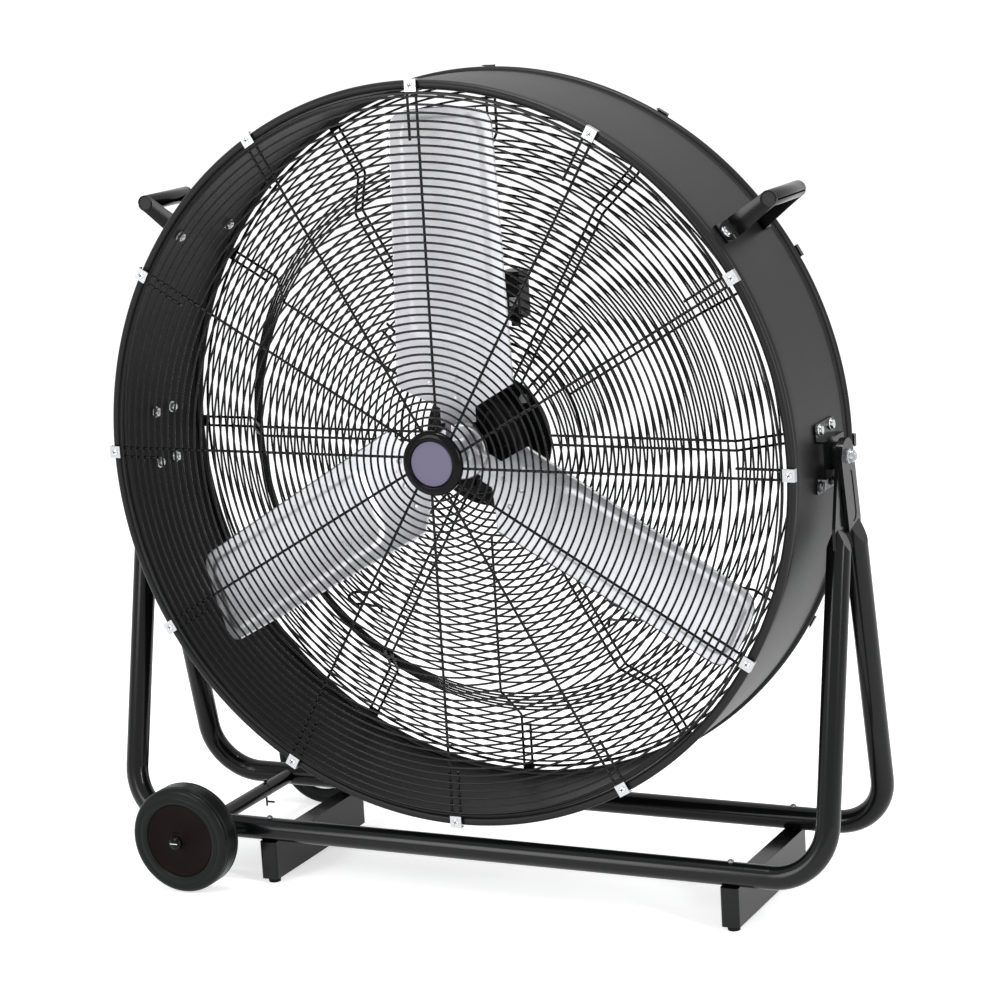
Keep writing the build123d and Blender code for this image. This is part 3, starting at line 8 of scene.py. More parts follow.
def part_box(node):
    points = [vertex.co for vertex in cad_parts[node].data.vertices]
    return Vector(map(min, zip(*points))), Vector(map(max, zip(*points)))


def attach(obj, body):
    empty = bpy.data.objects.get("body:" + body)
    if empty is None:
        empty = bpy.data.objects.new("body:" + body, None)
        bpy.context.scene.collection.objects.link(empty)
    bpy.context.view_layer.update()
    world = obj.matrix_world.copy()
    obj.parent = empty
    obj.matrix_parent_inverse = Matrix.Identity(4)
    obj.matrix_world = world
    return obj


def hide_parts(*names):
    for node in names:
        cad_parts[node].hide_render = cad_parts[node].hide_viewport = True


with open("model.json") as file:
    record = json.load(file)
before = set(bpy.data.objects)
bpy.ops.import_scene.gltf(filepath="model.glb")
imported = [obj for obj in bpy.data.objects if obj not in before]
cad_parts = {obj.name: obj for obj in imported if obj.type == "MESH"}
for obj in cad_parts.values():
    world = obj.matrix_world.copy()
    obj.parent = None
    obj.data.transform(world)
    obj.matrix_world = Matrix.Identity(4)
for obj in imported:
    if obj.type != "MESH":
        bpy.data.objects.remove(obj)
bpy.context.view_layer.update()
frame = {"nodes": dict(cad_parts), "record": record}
nodes = frame["nodes"]

# ------------------------------------------------------------ sizes that several pieces share
# Lengths are in metres. A y value is measured from the pivot axis: piece() adds FAN_Y to it.
AXIS_Z = 0.671                  # fan axis above the floor
FAN_Y = -0.024                  # pivot axis from the middle of the whole
RIM_R = 0.550                   # outside of the rolled rims
BEAD = 0.007                    # radius of a rolled rim's section
SHELL_R = 0.545                 # outside of the drum's sheet
DRUM_FRONT = -0.133             # middle of the front rim
DRUM_REAR = 0.106               # middle of the rear rim
HANDLE_ANGLE = 53.5             # degrees from the top, to each side
WHEEL_X = -0.436
WHEEL_Z = 0.0845
WHEEL_R = 0.0825
WHEEL_WIDE = 0.045
WHEEL_MID = {-1: 0.202, 1: 0.250}  # front and rear wheel's middle, from the pivot axis

# ------------------------------------------------------------ materials
COLOUR_A, COLOUR_B, COLOUR_OUT = 6, 7, 2  # a mix node's sockets for colours
BROAD_SCALE = 7.0               # of the noise that mixes a finish's two colours
LIGHTER, LIGHTER_LEAST = 1.35, 0.002  # second colour where a finish names none
NOISE_LOW, NOISE_HIGH = 0.25, 0.75    # part of the noise that the roughness follows
ROUGH_LEAST = 0.02
GRAIN_DEPTH = 0.0006


def principled(name):
    """A new material with its node tree and its surface node."""
    material = bpy.data.materials.new(name)
    material.use_nodes = True
    tree = material.node_tree
    return material, tree, tree.nodes["Principled BSDF"]


def noise(tree, place, scale, detail):
    """Noise laid over a piece's own coordinates."""
    texture = tree.nodes.new("ShaderNodeTexNoise")
    texture.inputs["Scale"].default_value = scale
    texture.inputs["Detail"].default_value = detail
    tree.links.new(place.outputs["Object"], texture.inputs["Vector"])
    return texture


def finish(name, base, rough, grain, bump, metallic=0.0, spread=0.06, tint=None, specular=0.5):
    """A surface whose colour, roughness and height all vary a little over the piece."""
    material, tree, bsdf = principled(name)
    link = tree.links.new
    place = tree.nodes.new("ShaderNodeTexCoord")
    fine = noise(tree, place, grain, 4.0)
    broad = noise(tree, place, BROAD_SCALE, 3.0)
    colour = tree.nodes.new("ShaderNodeMix")
    colour.data_type = "RGBA"
    other = tint or [min(1.0, c * LIGHTER + LIGHTER_LEAST) for c in base]
    colour.inputs[COLOUR_A].default_value = (*base, 1.0)
    colour.inputs[COLOUR_B].default_value = (*other, 1.0)
    link(broad.outputs["Fac"], colour.inputs["Factor"])
    link(colour.outputs[COLOUR_OUT], bsdf.inputs["Base Color"])
    ramp = tree.nodes.new("ShaderNodeMapRange")
    ramp.inputs["From Min"].default_value = NOISE_LOW
    ramp.inputs["From Max"].default_value = NOISE_HIGH
    ramp.inputs["To Min"].default_value = max(ROUGH_LEAST, rough - spread)
    ramp.inputs["To Max"].default_value = rough + spread
    link(fine.outputs["Fac"], ramp.inputs["Value"])
    link(ramp.outputs["Result"], bsdf.inputs["Roughness"])
    height = tree.nodes.new("ShaderNodeBump")
    height.inputs["Strength"].default_value = bump
    height.inputs["Distance"].default_value = GRAIN_DEPTH
    link(fine.outputs["Fac"], height.inputs["Height"])
    link(height.outputs["Normal"], bsdf.inputs["Normal"])
    bsdf.inputs["Metallic"].default_value = metallic
    bsdf.inputs["Specular IOR Level"].default_value = specular
    return material


MATS = {
    "black_paint": finish("black_paint", (0.0024, 0.0026, 0.0029), 0.18, grain=900, bump=0.02,
                          specular=0.20),
    "drum_paint": finish("drum_paint", (0.0058, 0.0058, 0.0062), 0.42, grain=900, bump=0.05,
                         specular=0.19),
    "black_wire": finish("black_wire", (0.0024, 0.0025, 0.0027), 0.20, grain=1200, bump=0.02,
                         specular=0.17),
    "zinc": finish("zinc", (0.56, 0.59, 0.61), 0.30, metallic=1.0, grain=500, bump=0.10,
                   tint=(0.68, 0.70, 0.68)),
    # the second colour, a darker lavender mixed in broad noise patches, is a painted reflection of
    # purple tones on the blades
    "blade_metal": finish("blade_metal", (0.84, 0.845, 0.86), 0.34, metallic=1.0, grain=60, bump=0.04,
                          spread=0.08, tint=(0.62, 0.61, 0.67)),
    "black_plastic": finish("black_plastic", (0.0032, 0.0032, 0.0035), 0.32, grain=700, bump=0.06,
                            specular=0.09),
    "badge_metal": finish("badge_metal", (0.140, 0.126, 0.190), 0.50, grain=400, bump=0.03,
                          spread=0.03, tint=(0.153, 0.138, 0.206), specular=0.12),
    "motor_cast": finish("motor_cast", (0.0030, 0.0030, 0.0033), 0.40, grain=350, bump=0.35,
                         specular=0.12),
    "steel": finish("steel", (0.50, 0.50, 0.52), 0.30, metallic=1.0, grain=400, bump=0.05),
    "tyre_rubber": finish("tyre_rubber", (0.0055, 0.0066, 0.0064), 0.34, grain=600, bump=0.08,
                          tint=(0.0075, 0.0094, 0.0090), specular=0.11),
    "wheel_plastic": finish("wheel_plastic", (0.0066, 0.0034, 0.0031), 0.50, grain=500, bump=0.06,
                            tint=(0.0085, 0.0047, 0.0043), specular=0.04),
    "rubber": finish("rubber", (0.005, 0.005, 0.005), 0.60, grain=500, bump=0.15, specular=0.10),
    "switch_grey": finish("switch_grey", (0.34, 0.35, 0.37), 0.45, grain=500, bump=0.08),
}
GLOSS_BLACK = finish("gloss_black", (0.0024, 0.0024, 0.0027), 0.12, grain=500, bump=0.01,
                     specular=0.09)
DULL_ZINC = finish("dull_zinc", (0.40, 0.41, 0.43), 0.38, metallic=1.0, grain=500, bump=0.10,
                   tint=(0.50, 0.51, 0.52))
# a darker zinc: the tube screws' own duller tone, and painted shade on the bracket bolts below the axis
DARK_ZINC_AND_PAINTED_SHADE = finish("dark_zinc_and_painted_shade", (0.16, 0.17, 0.18), 0.36, metallic=1.0, grain=500, bump=0.10,
                   tint=(0.22, 0.23, 0.24))
# painted shade: a darker copy of the drum's paint for the sheet's inside, which is the same paint seen
# in the drum's shade
DRUM_INSIDE_PAINTED_SHADE = finish("drum_inside_painted_shade", (0.0030, 0.0030, 0.0032), 0.42, grain=900, bump=0.05,
                     specular=0.07)
# painted shade: a near-black matte for the bars over the screws' cross recesses and the discs in the
# grips' open ends, where there is only shade
PAINTED_SHADE = finish("painted_shade_black", (0.004, 0.004, 0.004), 0.7, grain=300, bump=0.02)
DULL_NODES = ("pivot_washers", "pivot_bolts", "front_clips")
SLOTS = {s["node"]: s["material_slot"] for s in frame["record"]["subparts"]}
for node_name, node in nodes.items():
    paint = SLOTS[node_name]
    for place in node.material_slots:
        place.link = "OBJECT"
        place.material = DULL_ZINC if node_name in DULL_NODES else MATS[paint]


# ------------------------------------------------------------ mesh helpers
def piece(name, verts, faces, paint, body, stands_for=(), smooth=True, material=None):
    """A mesh piece in the shared frame, riding on a body, in one of the record's finishes."""
    mesh = bpy.data.meshes.new(name)
    mesh.from_pydata([(v[0], v[1] + FAN_Y, v[2]) for v in verts], [],
                     [tuple(int(i) for i in f) for f in faces])
    mesh.validate()
    mesh.update()
    if smooth:
        mesh.polygons.foreach_set("use_smooth", [True] * len(mesh.polygons))
    mesh.materials.append(material or MATS[paint])
    obj = bpy.data.objects.new(name, mesh)
    bpy.context.scene.collection.objects.link(obj)
    if stands_for:
        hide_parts(*stands_for)
    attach(obj, body)
    return obj


class Build:
    """Collects vertices and faces of several shapes into one piece."""

    def __init__(self):
        self.verts = []
        self.faces = []

    def add(self, verts, faces):
        """Takes in one shape."""
        start = len(self.verts)
        self.verts.extend(verts)
        self.faces.extend([i + start for i in f] for f in faces)

    def make(self, name, paint, body, **more):
        """Makes one piece of all that was added."""
        return piece(name, self.verts, self.faces, paint, body, **more)


def grid_faces(rows, columns, wrap_rows, wrap_columns):
    """Four-sided faces over rows and columns of vertices; a wrapped way closes on itself."""
    faces = []
    for i in range(rows if wrap_rows else rows - 1):
        for j in range(columns if wrap_columns else columns - 1):
            a = i * columns + j
            b = i * columns + (j + 1) % columns
            c = ((i + 1) % rows) * columns + (j + 1) % columns
            d = ((i + 1) % rows) * columns + j
            faces.append([a, b, c, d])
    return faces


def spun(profile, centre, turns, closed=True):
    """Profile of (radius, y) points spun about a line along Y through centre (x, z)."""
    verts = []
    for k in range(turns):
        a = 2 * math.pi * k / turns
        s, c = math.sin(a), math.cos(a)
        verts.extend((centre[0] + r * s, y, centre[1] + r * c) for r, y in profile)
    return verts, grid_faces(turns, len(profile), True, closed)


def arc(cx, cy, r, start, end, count):
    """Points on an arc in a profile, angles in degrees."""
    return [(cx + r * math.cos(math.radians(start + (end - start) * i / count)),
             cy + r * math.sin(math.radians(start + (end - start) * i / count)))
            for i in range(count + 1)]


def between(start, end, count):
    """Evenly spaced values from start up to, but not including, end."""
    return [start + (end - start) * i / count for i in range(count)]


def ease(t):
    """Smooth step from 0 to 1."""
    t = min(1.0, max(0.0, t))
    return t * t * (3 - 2 * t)


NEARLY_ALONG = 0.9              # cosine above which a hint can't set the first axis


def frame_at(origin, normal, hint=(0, 0, 1)):
    """A place: its origin, two axes across the normal, and the normal."""
    n = Vector(normal).normalized()
    h = Vector(hint)
    if abs(n.dot(h)) > NEARLY_ALONG:
        h = Vector((1, 0, 0))
    x = h.cross(n).normalized()
    return Vector(origin), x, n.cross(x), n


def turned(profile, place, sides, bend=None):
    """Profile of (radius, height) turned about a place's normal; bend reshapes it, as to a hexagon."""
    origin, x, y, n = place
    verts = []
    for k in range(sides):
        a = 2 * math.pi * k / sides
        for r, h in profile:
            rr, hh = bend(r, h, a) if bend else (r, h)
            verts.append(tuple(origin + x * (rr * math.cos(a)) + y * (rr * math.sin(a)) + n * hh))
    return verts, grid_faces(sides, len(profile), True, False)


HEX_INSIDE = 0.9                # share of the flats' radius below which a point stays round
HEX_TOP = 0.98                  # share of the height above which the corners drop
HEX_DROP = 0.55                 # how far the corners drop, as a share of their reach
HEX_STEPS = (0.9, 0.80, 0.74)   # start of the corners' edge by height, then the top's two radii
HEAD_SIDES = 36
HEAD_CROWN = 0.0002             # rise of the head's middle


def hexagon(radius, height):
    """Bends a turned profile into a hexagon whose corners drop at the top."""
    flat = radius * math.cos(math.radians(30))

    def shape(r, h, a):
        if r < flat * HEX_INSIDE:
            return r, h
        across = flat / math.cos((a % (math.pi / 3)) - math.pi / 6)
        if h < height * HEX_TOP:
            return min(r, across), h
        drop = max(0.0, across - flat) * HEX_DROP
        return across - drop, h - drop
    return shape


def hex_head(build, origin, normal, radius, height, flange):
    """Hexagon head with a washer flange, standing on origin."""
    place = frame_at(origin, normal)
    washer = [(0.0, 0.0), (flange, 0.0), (flange, 0.0009), (flange - 0.0006, 0.0013), (0.0, 0.0014)]
    build.add(*turned(washer, place, HEAD_SIDES))
    edge, top, middle = HEX_STEPS
    crown = height + HEAD_CROWN
    head = [(radius, 0.0012), (radius, height * edge), (radius, height), (radius * top, height),
            (radius * middle, crown), (0.0, crown)]
    build.add(*turned(head, place, HEAD_SIDES, hexagon(radius, height)))


DOME_SIDE = 0.15                # straight part of a dome's side, as a share of its height


def dome(radius, height, side=None):
    """Profile of a domed head: a straight side, then a round top."""
    side = height * DOME_SIDE if side is None else side
    top = [(radius * math.cos(math.radians(t)), side + (height - side) * math.sin(math.radians(t)))
           for t in (15, 30, 45, 60, 75)]
    return [(radius, 0.0), (radius, side)] + top + [(0.0, height)]


def slot_bar(build, place, span, width, low, high):
    """A bar along a place's first axis, open below, as the slot of a screw or a cap."""
    origin, u, v, n = place
    corners = []
    for su, sv in ((-1, -1), (1, -1), (1, 1), (-1, 1)):
        for h in (low, high):
            corners.append(tuple(origin + u * (su * span) + v * (sv * width) + n * h))
    build.add(corners, [[1, 3, 5, 7], [0, 2, 3, 1], [2, 4, 5, 3], [4, 6, 7, 5], [6, 0, 1, 7]])


CROSS_SUNK, CROSS_PROUD = 0.0004, 0.00003  # the bars' reach below and above the head's top


def cross_recess(build, place, span, width, height):
    """Two crossed bars just above a head's top, where a cross-head screw's recess would be; in the
    near-black finish they are painted shade in place of the recess.
    """
    origin, x, y, n = place
    for u, v in ((x, y), (y, x)):
        slot_bar(build, (origin, u, v, n), span, width, height - CROSS_SUNK, height + CROSS_PROUD)


def clock(angle, radius, y):
    """A point around the fan axis, at an angle in degrees from the top."""
    a = math.radians(angle)
    return Vector((radius * math.sin(a), y, AXIS_Z + radius * math.cos(a)))


def outward(angle):
    """The direction away from the fan axis, at an angle in degrees from the top."""
    a = math.radians(angle)
    return Vector((math.sin(a), 0, math.cos(a)))


def soften(obj, width, segments, angle):
    """Rounds the edges that are sharper than an angle in degrees."""
    bevel = obj.modifiers.new("soft_edges", "BEVEL")
    bevel.width = width
    bevel.segments = segments
    bevel.limit_method = "ANGLE"
    bevel.angle_limit = math.radians(angle)


# ------------------------------------------------------------ grille rings
RING_WIRE = 0.0017              # radius of a ring's wire with its paint
RING_SIDES = 8
RING_TURNS_LEAST = 72
RING_TURNS_PER_METRE = 520      # of the ring's radius
PITCH = 0.0115                  # from one ring to the next
LAST_RING = RIM_R - 0.018       # no ring lies further out
FRONT_RING = 0.056              # radius of the innermost front ring
FRONT_RING_Y = -0.14560
REAR_RING = 0.116               # radius of the innermost rear ring
REAR_RING_Y = 0.11860
RECESS_Y = 0.04605              # floor of the rear grille's recess
RECESS_DEPTH = 0.069
RECESS_OUTER = 0.451            # radius where the recess starts
RECESS_INNER = 0.395            # radius where its slope ends
RING_OFFSET = 0.00355           # from the radial wires' middle to the rings' middle


def ring_piece(name, rings, stands_for):
    """Round wires bent to rings of (radius, y)."""
    build = Build()
    for radius, y in rings:
        turns = max(RING_TURNS_LEAST, int(radius * RING_TURNS_PER_METRE))
        section = arc(radius, y, RING_WIRE, 0, 360, RING_SIDES)[:-1]
        build.add(*spun(section, (0, AXIS_Z), turns))
    build.make(name, "black_wire", "drum", stands_for=[stands_for])


def ring_radii(first, end):
    """Radii from the first ring on, a pitch apart, up to an end."""
    return [first + i * PITCH for i in range(int((end - first) / PITCH) + 1)]


def rear_rings():
    """Rings on the recess's floor, on its slope and on the flat around it."""
    run = RECESS_OUTER - RECESS_INNER
    slope = math.hypot(run, RECESS_DEPTH)
    rings = [(radius, RECESS_Y + RING_OFFSET)
             for radius in ring_radii(REAR_RING, RECESS_INNER - PITCH / 2)]
    steps = int(slope / PITCH)
    for i in range(1, steps):
        share = i / steps
        rings.append((RECESS_INNER + share * run - RECESS_DEPTH / slope * RING_OFFSET,
                      RECESS_Y + share * RECESS_DEPTH + run / slope * RING_OFFSET))
    rings += [(RECESS_OUTER + (i + 0.5) * PITCH, REAR_RING_Y)
              for i in range(int((LAST_RING - RECESS_OUTER) / PITCH))]
    return rings


ring_piece("front_ring_wires", [(radius, FRONT_RING_Y) for radius in ring_radii(FRONT_RING, LAST_RING)],
           "front_grille_rings")
ring_piece("rear_ring_wires", rear_rings(), "rear_grille_rings")

# ------------------------------------------------------------ drum shell
DRUM_TURNS = 288
BEAD_SIDES = 24
DRUM_SHEET = 0.0015             # thickness
SWAGE_LONG = 0.026              # width of the grooved band beside a rim
# (depth, distance from the rim) over that band
SWAGE = [(0.0004, 0.004), (0.0006, 0.010), (0.0020, 0.013), (0.0020, 0.019), (0.0002, 0.023),
         (0.0, SWAGE_LONG)]
PLAIN_STEPS = 12


def drum_sheet():
    """The rolled drum: two beads, a swaged groove behind each, and the sheet between them."""
    build = Build()
    for y in (DRUM_FRONT, DRUM_REAR):
        bead = arc(RIM_R - BEAD, y, BEAD, 0, 360, BEAD_SIDES)[:-1]
        build.add(*spun(bead, (0, AXIS_Z), DRUM_TURNS))
    outside = [(SHELL_R - sink, DRUM_FRONT + along) for sink, along in SWAGE]
    plain = DRUM_REAR - DRUM_FRONT - 2 * SWAGE_LONG
    outside += [(SHELL_R, DRUM_FRONT + SWAGE_LONG + plain * i / PLAIN_STEPS)
                for i in range(1, PLAIN_STEPS)]
    outside += [(SHELL_R - sink, DRUM_REAR - along) for sink, along in reversed(SWAGE)]
    inside = [(radius - DRUM_SHEET, y) for radius, y in reversed(outside)]
    build.add(*spun(outside + inside, (0, AXIS_Z), DRUM_TURNS))
    sheet = build.make("drum_sheet", "black_paint", "drum", stands_for=["drum_shell"],
                       material=MATS["drum_paint"])
    # the inside faces get the darker copy, as painted shade inside the drum
    sheet.data.materials.append(DRUM_INSIDE_PAINTED_SHADE)
    across = len(outside)
    for number, face in enumerate(sheet.data.polygons[-DRUM_TURNS * 2 * across:]):
        face.material_index = int(number % (2 * across) >= across)


drum_sheet()

# ------------------------------------------------------------ blades
BLADE_ANGLES = (0, 120, 240)
BLADE_Y = -0.056
BLADE_PITCH = math.radians(18)
BLADE_R = 0.505                 # reach of the round tip
BLADE_SHEET = 0.002             # thickness
BLADE_COLUMNS = 61
TAB_ROWS, SHOULDER_ROWS, MIDDLE_ROWS, CORNER_ROWS, TIP_ROWS = 6, 14, 110, 12, 4
HALF = 0.075                    # half the chord at the tip
SHOULDER = 0.086                # half the chord across the shoulders
TAB = 0.026                     # half the width of the root tab
TAB_START, TAB_END = 0.043, 0.066
SHOULDER_SLOPE = math.tan(math.radians(30))
SHOULDER_Y = TAB_END + (SHOULDER - TAB) * SHOULDER_SLOPE
TIP_SIDE = math.sqrt(BLADE_R ** 2 - HALF ** 2)
TIP_ROUND = 0.022
CAMBER = 0.008                  # rise of the tip's ends over its middle
CAMBER_R = (HALF ** 2 + CAMBER ** 2) / (2 * CAMBER)
PANEL_MID = 0.331               # middle of the raised panel, from the axis
PANEL_HALF_WIDE, PANEL_HALF_LONG = 0.058, 0.159
PANEL_CORNER = 0.022
PANEL_RISE = 0.0019
PANEL_EDGE = 0.008              # width of the sloping edge around the panel


def blade_axes(angle):
    """A blade's origin on the axis, and its axes across, outward and to its front."""
    a = math.radians(angle)
    tangent = Vector((math.cos(a), 0, -math.sin(a)))
    along = Vector((0, 1, 0))
    x = tangent * math.cos(BLADE_PITCH) + along * math.sin(BLADE_PITCH)
    z = tangent * math.sin(BLADE_PITCH) - along * math.cos(BLADE_PITCH)
    return Vector((0, BLADE_Y, AXIS_Z)), x, outward(angle), z


def camber(x):
    """Height of the curved sheet at a distance from its middle line."""
    return CAMBER_R - math.sqrt(CAMBER_R ** 2 - x * x)


def panel_distance(x, y):
    """Signed distance to the panel's edge, a rounded rectangle; negative inside."""
    qx = abs(x) - PANEL_HALF_WIDE + PANEL_CORNER
    qy = abs(y - PANEL_MID) - PANEL_HALF_LONG + PANEL_CORNER
    return math.hypot(max(qx, 0), max(qy, 0)) + min(max(qx, qy), 0) - PANEL_CORNER


def blade_height(x, y):
    """Height of the blade's front face, with its pressed panel."""
    return camber(x) + PANEL_RISE * ease((PANEL_EDGE / 2 - panel_distance(x, y)) / PANEL_EDGE)


def half_width(y):
    """Half the blade's width at a distance from the axis."""
    if y <= TAB_END:
        return TAB
    if y < SHOULDER_Y:
        return TAB + (y - TAB_END) / SHOULDER_SLOPE
    side = SHOULDER - (SHOULDER - HALF) * (y - SHOULDER_Y) / (TIP_SIDE - SHOULDER_Y)
    if y > TIP_SIDE - TIP_ROUND:
        s = min(1.0, (y - TIP_SIDE + TIP_ROUND) / TIP_ROUND)
        return side - TIP_ROUND + TIP_ROUND * math.sqrt(max(0.0, 1 - s * s))
    return side


def blade_rows():
    """Rows of (across, outward) points, from the root tab to the round tip."""
    corner = TIP_SIDE - TIP_ROUND
    ys = between(TAB_START, TAB_END, TAB_ROWS) + between(TAB_END, SHOULDER_Y, SHOULDER_ROWS)
    ys += between(SHOULDER_Y, corner, MIDDLE_ROWS)
    ys += [corner + TIP_ROUND * math.sin(math.pi / 2 * i / CORNER_ROWS)
           for i in range(CORNER_ROWS + 1)]
    shares = [2 * j / (BLADE_COLUMNS - 1) - 1 for j in range(BLADE_COLUMNS)]
    rows = [[(half_width(y) * share, y) for share in shares] for y in ys]
    tip = half_width(TIP_SIDE)
    for k in range(1, TIP_ROWS + 1):
        row = []
        for share in shares:
            x = tip * share
            reach = math.sqrt(BLADE_R ** 2 - x * x)
            row.append((x, TIP_SIDE + (reach - TIP_SIDE) * k / TIP_ROWS))
        rows.append(row)
    return rows


def pressed_blade(number, angle):
    """One sheet blade: its front, its back a thickness behind, and the edges between them."""
    origin, ex, ey, ez = blade_axes(angle)
    rows = blade_rows()
    verts = []
    for thickness in (0.0, BLADE_SHEET):
        for row in rows:
            for x, y in row:
                h = blade_height(x, y) - thickness
                verts.append(tuple(origin + ex * x + ey * y + ez * h))
    columns = BLADE_COLUMNS
    count = len(rows) * columns
    last = count - columns
    front = grid_faces(len(rows), columns, False, False)
    faces = front + [[i + count for i in reversed(f)] for f in front]
    for j in range(columns - 1):
        faces.append([j + 1, j, j + count, j + 1 + count])
        faces.append([last + j, last + j + 1, last + j + 1 + count, last + j + count])
    for i in range(len(rows) - 1):
        a, b = i * columns, (i + 1) * columns
        faces.append([a, b, b + count, a + count])
        a, b = a + columns - 1, b + columns - 1
        faces.append([b, a, a + count, b + count])
    piece(f"pressed_blade_{number}", verts, faces, "blade_metal", "rotor",
          stands_for=[f"blade_{number}"])


for number, angle in enumerate(BLADE_ANGLES, start=1):
    pressed_blade(number, angle)

RIVET_R, RIVET_HIGH, RIVET_SIDES = 0.0046, 0.0019, 20
RIVET_PLACES = ((0.110, -20), (0.110, 0), (0.110, 20), (0.079, 0))  # radius, degrees from the middle
RIVET_FRONT = 0.0001            # seat of the front head over the sheet's front
RIVET_BACK = -0.0051            # seat of the rear head, behind the hub's arm

rivets = Build()
for angle in BLADE_ANGLES:
    origin, ex, ey, ez = blade_axes(angle)
    for r, turn in RIVET_PLACES:
        x = r * math.sin(math.radians(turn))
        y = r * math.cos(math.radians(turn))
        for lift, normal in ((RIVET_FRONT, ez), (RIVET_BACK, -ez)):
            seat = origin + ex * x + ey * y + ez * (camber(x) + lift)
            rivets.add(*turned(dome(RIVET_R, RIVET_HIGH), frame_at(seat, normal), RIVET_SIDES))
rivets.make("domed_rivets", "zinc", "rotor", stands_for=["blade_rivets"])

# ------------------------------------------------------------ screws and bolts
SCREW_SIDES = 24
CLIP_SCREW_R, CLIP_SCREW_HIGH = 0.0048, 0.0021
CLIP_CROSS = (0.0029, 0.0006)   # half the length and half the width of a recess's bars
CLIP_CROSS_TURN = 20            # degrees that the bars are turned in the head
CLIP_SEATS = ((-0.1459, -1), (0.1189, 1))  # y and direction of the front and the rear clips' screws
BRACKET_RISE = 0.040            # bracket bolts above and below the pivot axis
BRACKET_Y = 0.024               # and before and behind it
BRACKET_SEAT = 0.54807          # radius that a bracket bolt's head stands on
HANDLE_BOLT_Y = (-0.082, 0.062)
HANDLE_SEAT = 0.54907           # radius that a handle bolt's head stands on
NUT_SEAT = 0.5433               # radius inside the drum that the nuts stand on
PIVOT_NUT_HIGH = 0.008          # from the CAD nut's seat to its outer end
# radius, height and flange's radius of a bolt's head, of its nut and of a pivot nut
BOLT_HEX = (0.0072, 0.0051, 0.0086)
NUT_HEX = (0.0073, 0.0064, 0.0088)
PIVOT_HEX = (0.0091, 0.0078, 0.0101)
# (radius, height over the nut's seat) of a bolt's end
BOLT_END = [(0.004, 0.006), (0.004, 0.0082), (0.0035, 0.0087), (0, 0.0087)]
BOLT_SIDES = 20
PIVOT_END = [(0.005, 0.0076), (0.005, 0.0088), (0.0043, 0.0096), (0, 0.0096)]
CHANNEL_X = (-0.327, 0.429)
CHANNEL_SCREW_Y = (-0.132, 0.132)
CHANNEL_SCREW_Z = 0.1021        # top of the hoop's tube
CHANNEL_SCREW_R, CHANNEL_SCREW_HIGH = 0.0048, 0.0038
CHANNEL_CROSS = (0.0024, 0.0005)

clip_heads, clip_recess_shade = Build(), Build()
for angle in range(0, 360, 30):
    for y, direction in CLIP_SEATS:
        hint = tuple(outward(angle + CLIP_CROSS_TURN))
        place = frame_at(clock(angle, RIM_R - BEAD, y), (0, direction, 0), hint)
        clip_heads.add(*turned(dome(CLIP_SCREW_R, CLIP_SCREW_HIGH), place, SCREW_SIDES))
        cross_recess(clip_recess_shade, place, *CLIP_CROSS, CLIP_SCREW_HIGH)
clip_heads.make("clip_screw_heads", "zinc", "drum", stands_for=["clip_screws"])
# near-black bars over the heads: painted shade of the cross recesses
clip_recess_shade.make("clip_screw_recess_shade", "black_wire", "drum", material=PAINTED_SHADE, smooth=False)

bracket_turn = math.degrees(math.asin(BRACKET_RISE / SHELL_R))
bolt_places = [(side + turn, y, BRACKET_SEAT)
               for side in (90, 270) for turn in (-bracket_turn, bracket_turn)
               for y in (-BRACKET_Y, BRACKET_Y)]
bolt_places += [(angle, y, HANDLE_SEAT)
                for angle in (HANDLE_ANGLE, -HANDLE_ANGLE) for y in HANDLE_BOLT_Y]
upper_bolts, shaded_lower_bolts, drum_nuts = Build(), Build(), Build()
for angle, y, seat in bolt_places:
    # bolts below the axis take the darker zinc as painted shade
    bolts = shaded_lower_bolts if 90 < angle < 270 else upper_bolts
    hex_head(bolts, clock(angle, seat, y), outward(angle), *BOLT_HEX)
    nut_place = clock(angle, NUT_SEAT, y)
    hex_head(drum_nuts, nut_place, -outward(angle), *NUT_HEX)
    drum_nuts.add(*turned(BOLT_END, frame_at(nut_place, -outward(angle)), BOLT_SIDES))
upper_bolts.make("drum_bolt_heads", "zinc", "drum", stands_for=["drum_bolts"])
shaded_lower_bolts.make("shaded_lower_bolt_heads", "zinc", "drum", material=DARK_ZINC_AND_PAINTED_SHADE)
drum_nuts.make("drum_nut_faces", "zinc", "drum", stands_for=["drum_nuts"])

pivot_nuts = Build()
nut_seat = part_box("pivot_nuts")[1].x - PIVOT_NUT_HIGH
for side in (1, -1):
    seat = (side * nut_seat, 0, AXIS_Z)
    hex_head(pivot_nuts, seat, (side, 0, 0), *PIVOT_HEX)
    pivot_nuts.add(*turned(PIVOT_END, frame_at(seat, (side, 0, 0)), SCREW_SIDES))
pivot_nuts.make("pivot_lock_nuts", "zinc", "stand", stands_for=["pivot_nuts"], material=DULL_ZINC)

tube_screws, tube_recess_shade = Build(), Build()
for x in CHANNEL_X:
    for y in CHANNEL_SCREW_Y:
        place = frame_at((x, y, CHANNEL_SCREW_Z), (0, 0, 1))
        tube_screws.add(*turned(dome(CHANNEL_SCREW_R, CHANNEL_SCREW_HIGH), place, SCREW_SIDES))
        cross_recess(tube_recess_shade, place, *CHANNEL_CROSS, CHANNEL_SCREW_HIGH)
tube_screws.make("tube_screw_heads", "zinc", "stand", stands_for=["channel_bolts"], material=DARK_ZINC_AND_PAINTED_SHADE)
# near-black bars over the heads: painted shade of the cross recesses
tube_recess_shade.make("tube_screw_recess_shade", "black_wire", "stand", material=PAINTED_SHADE, smooth=False)

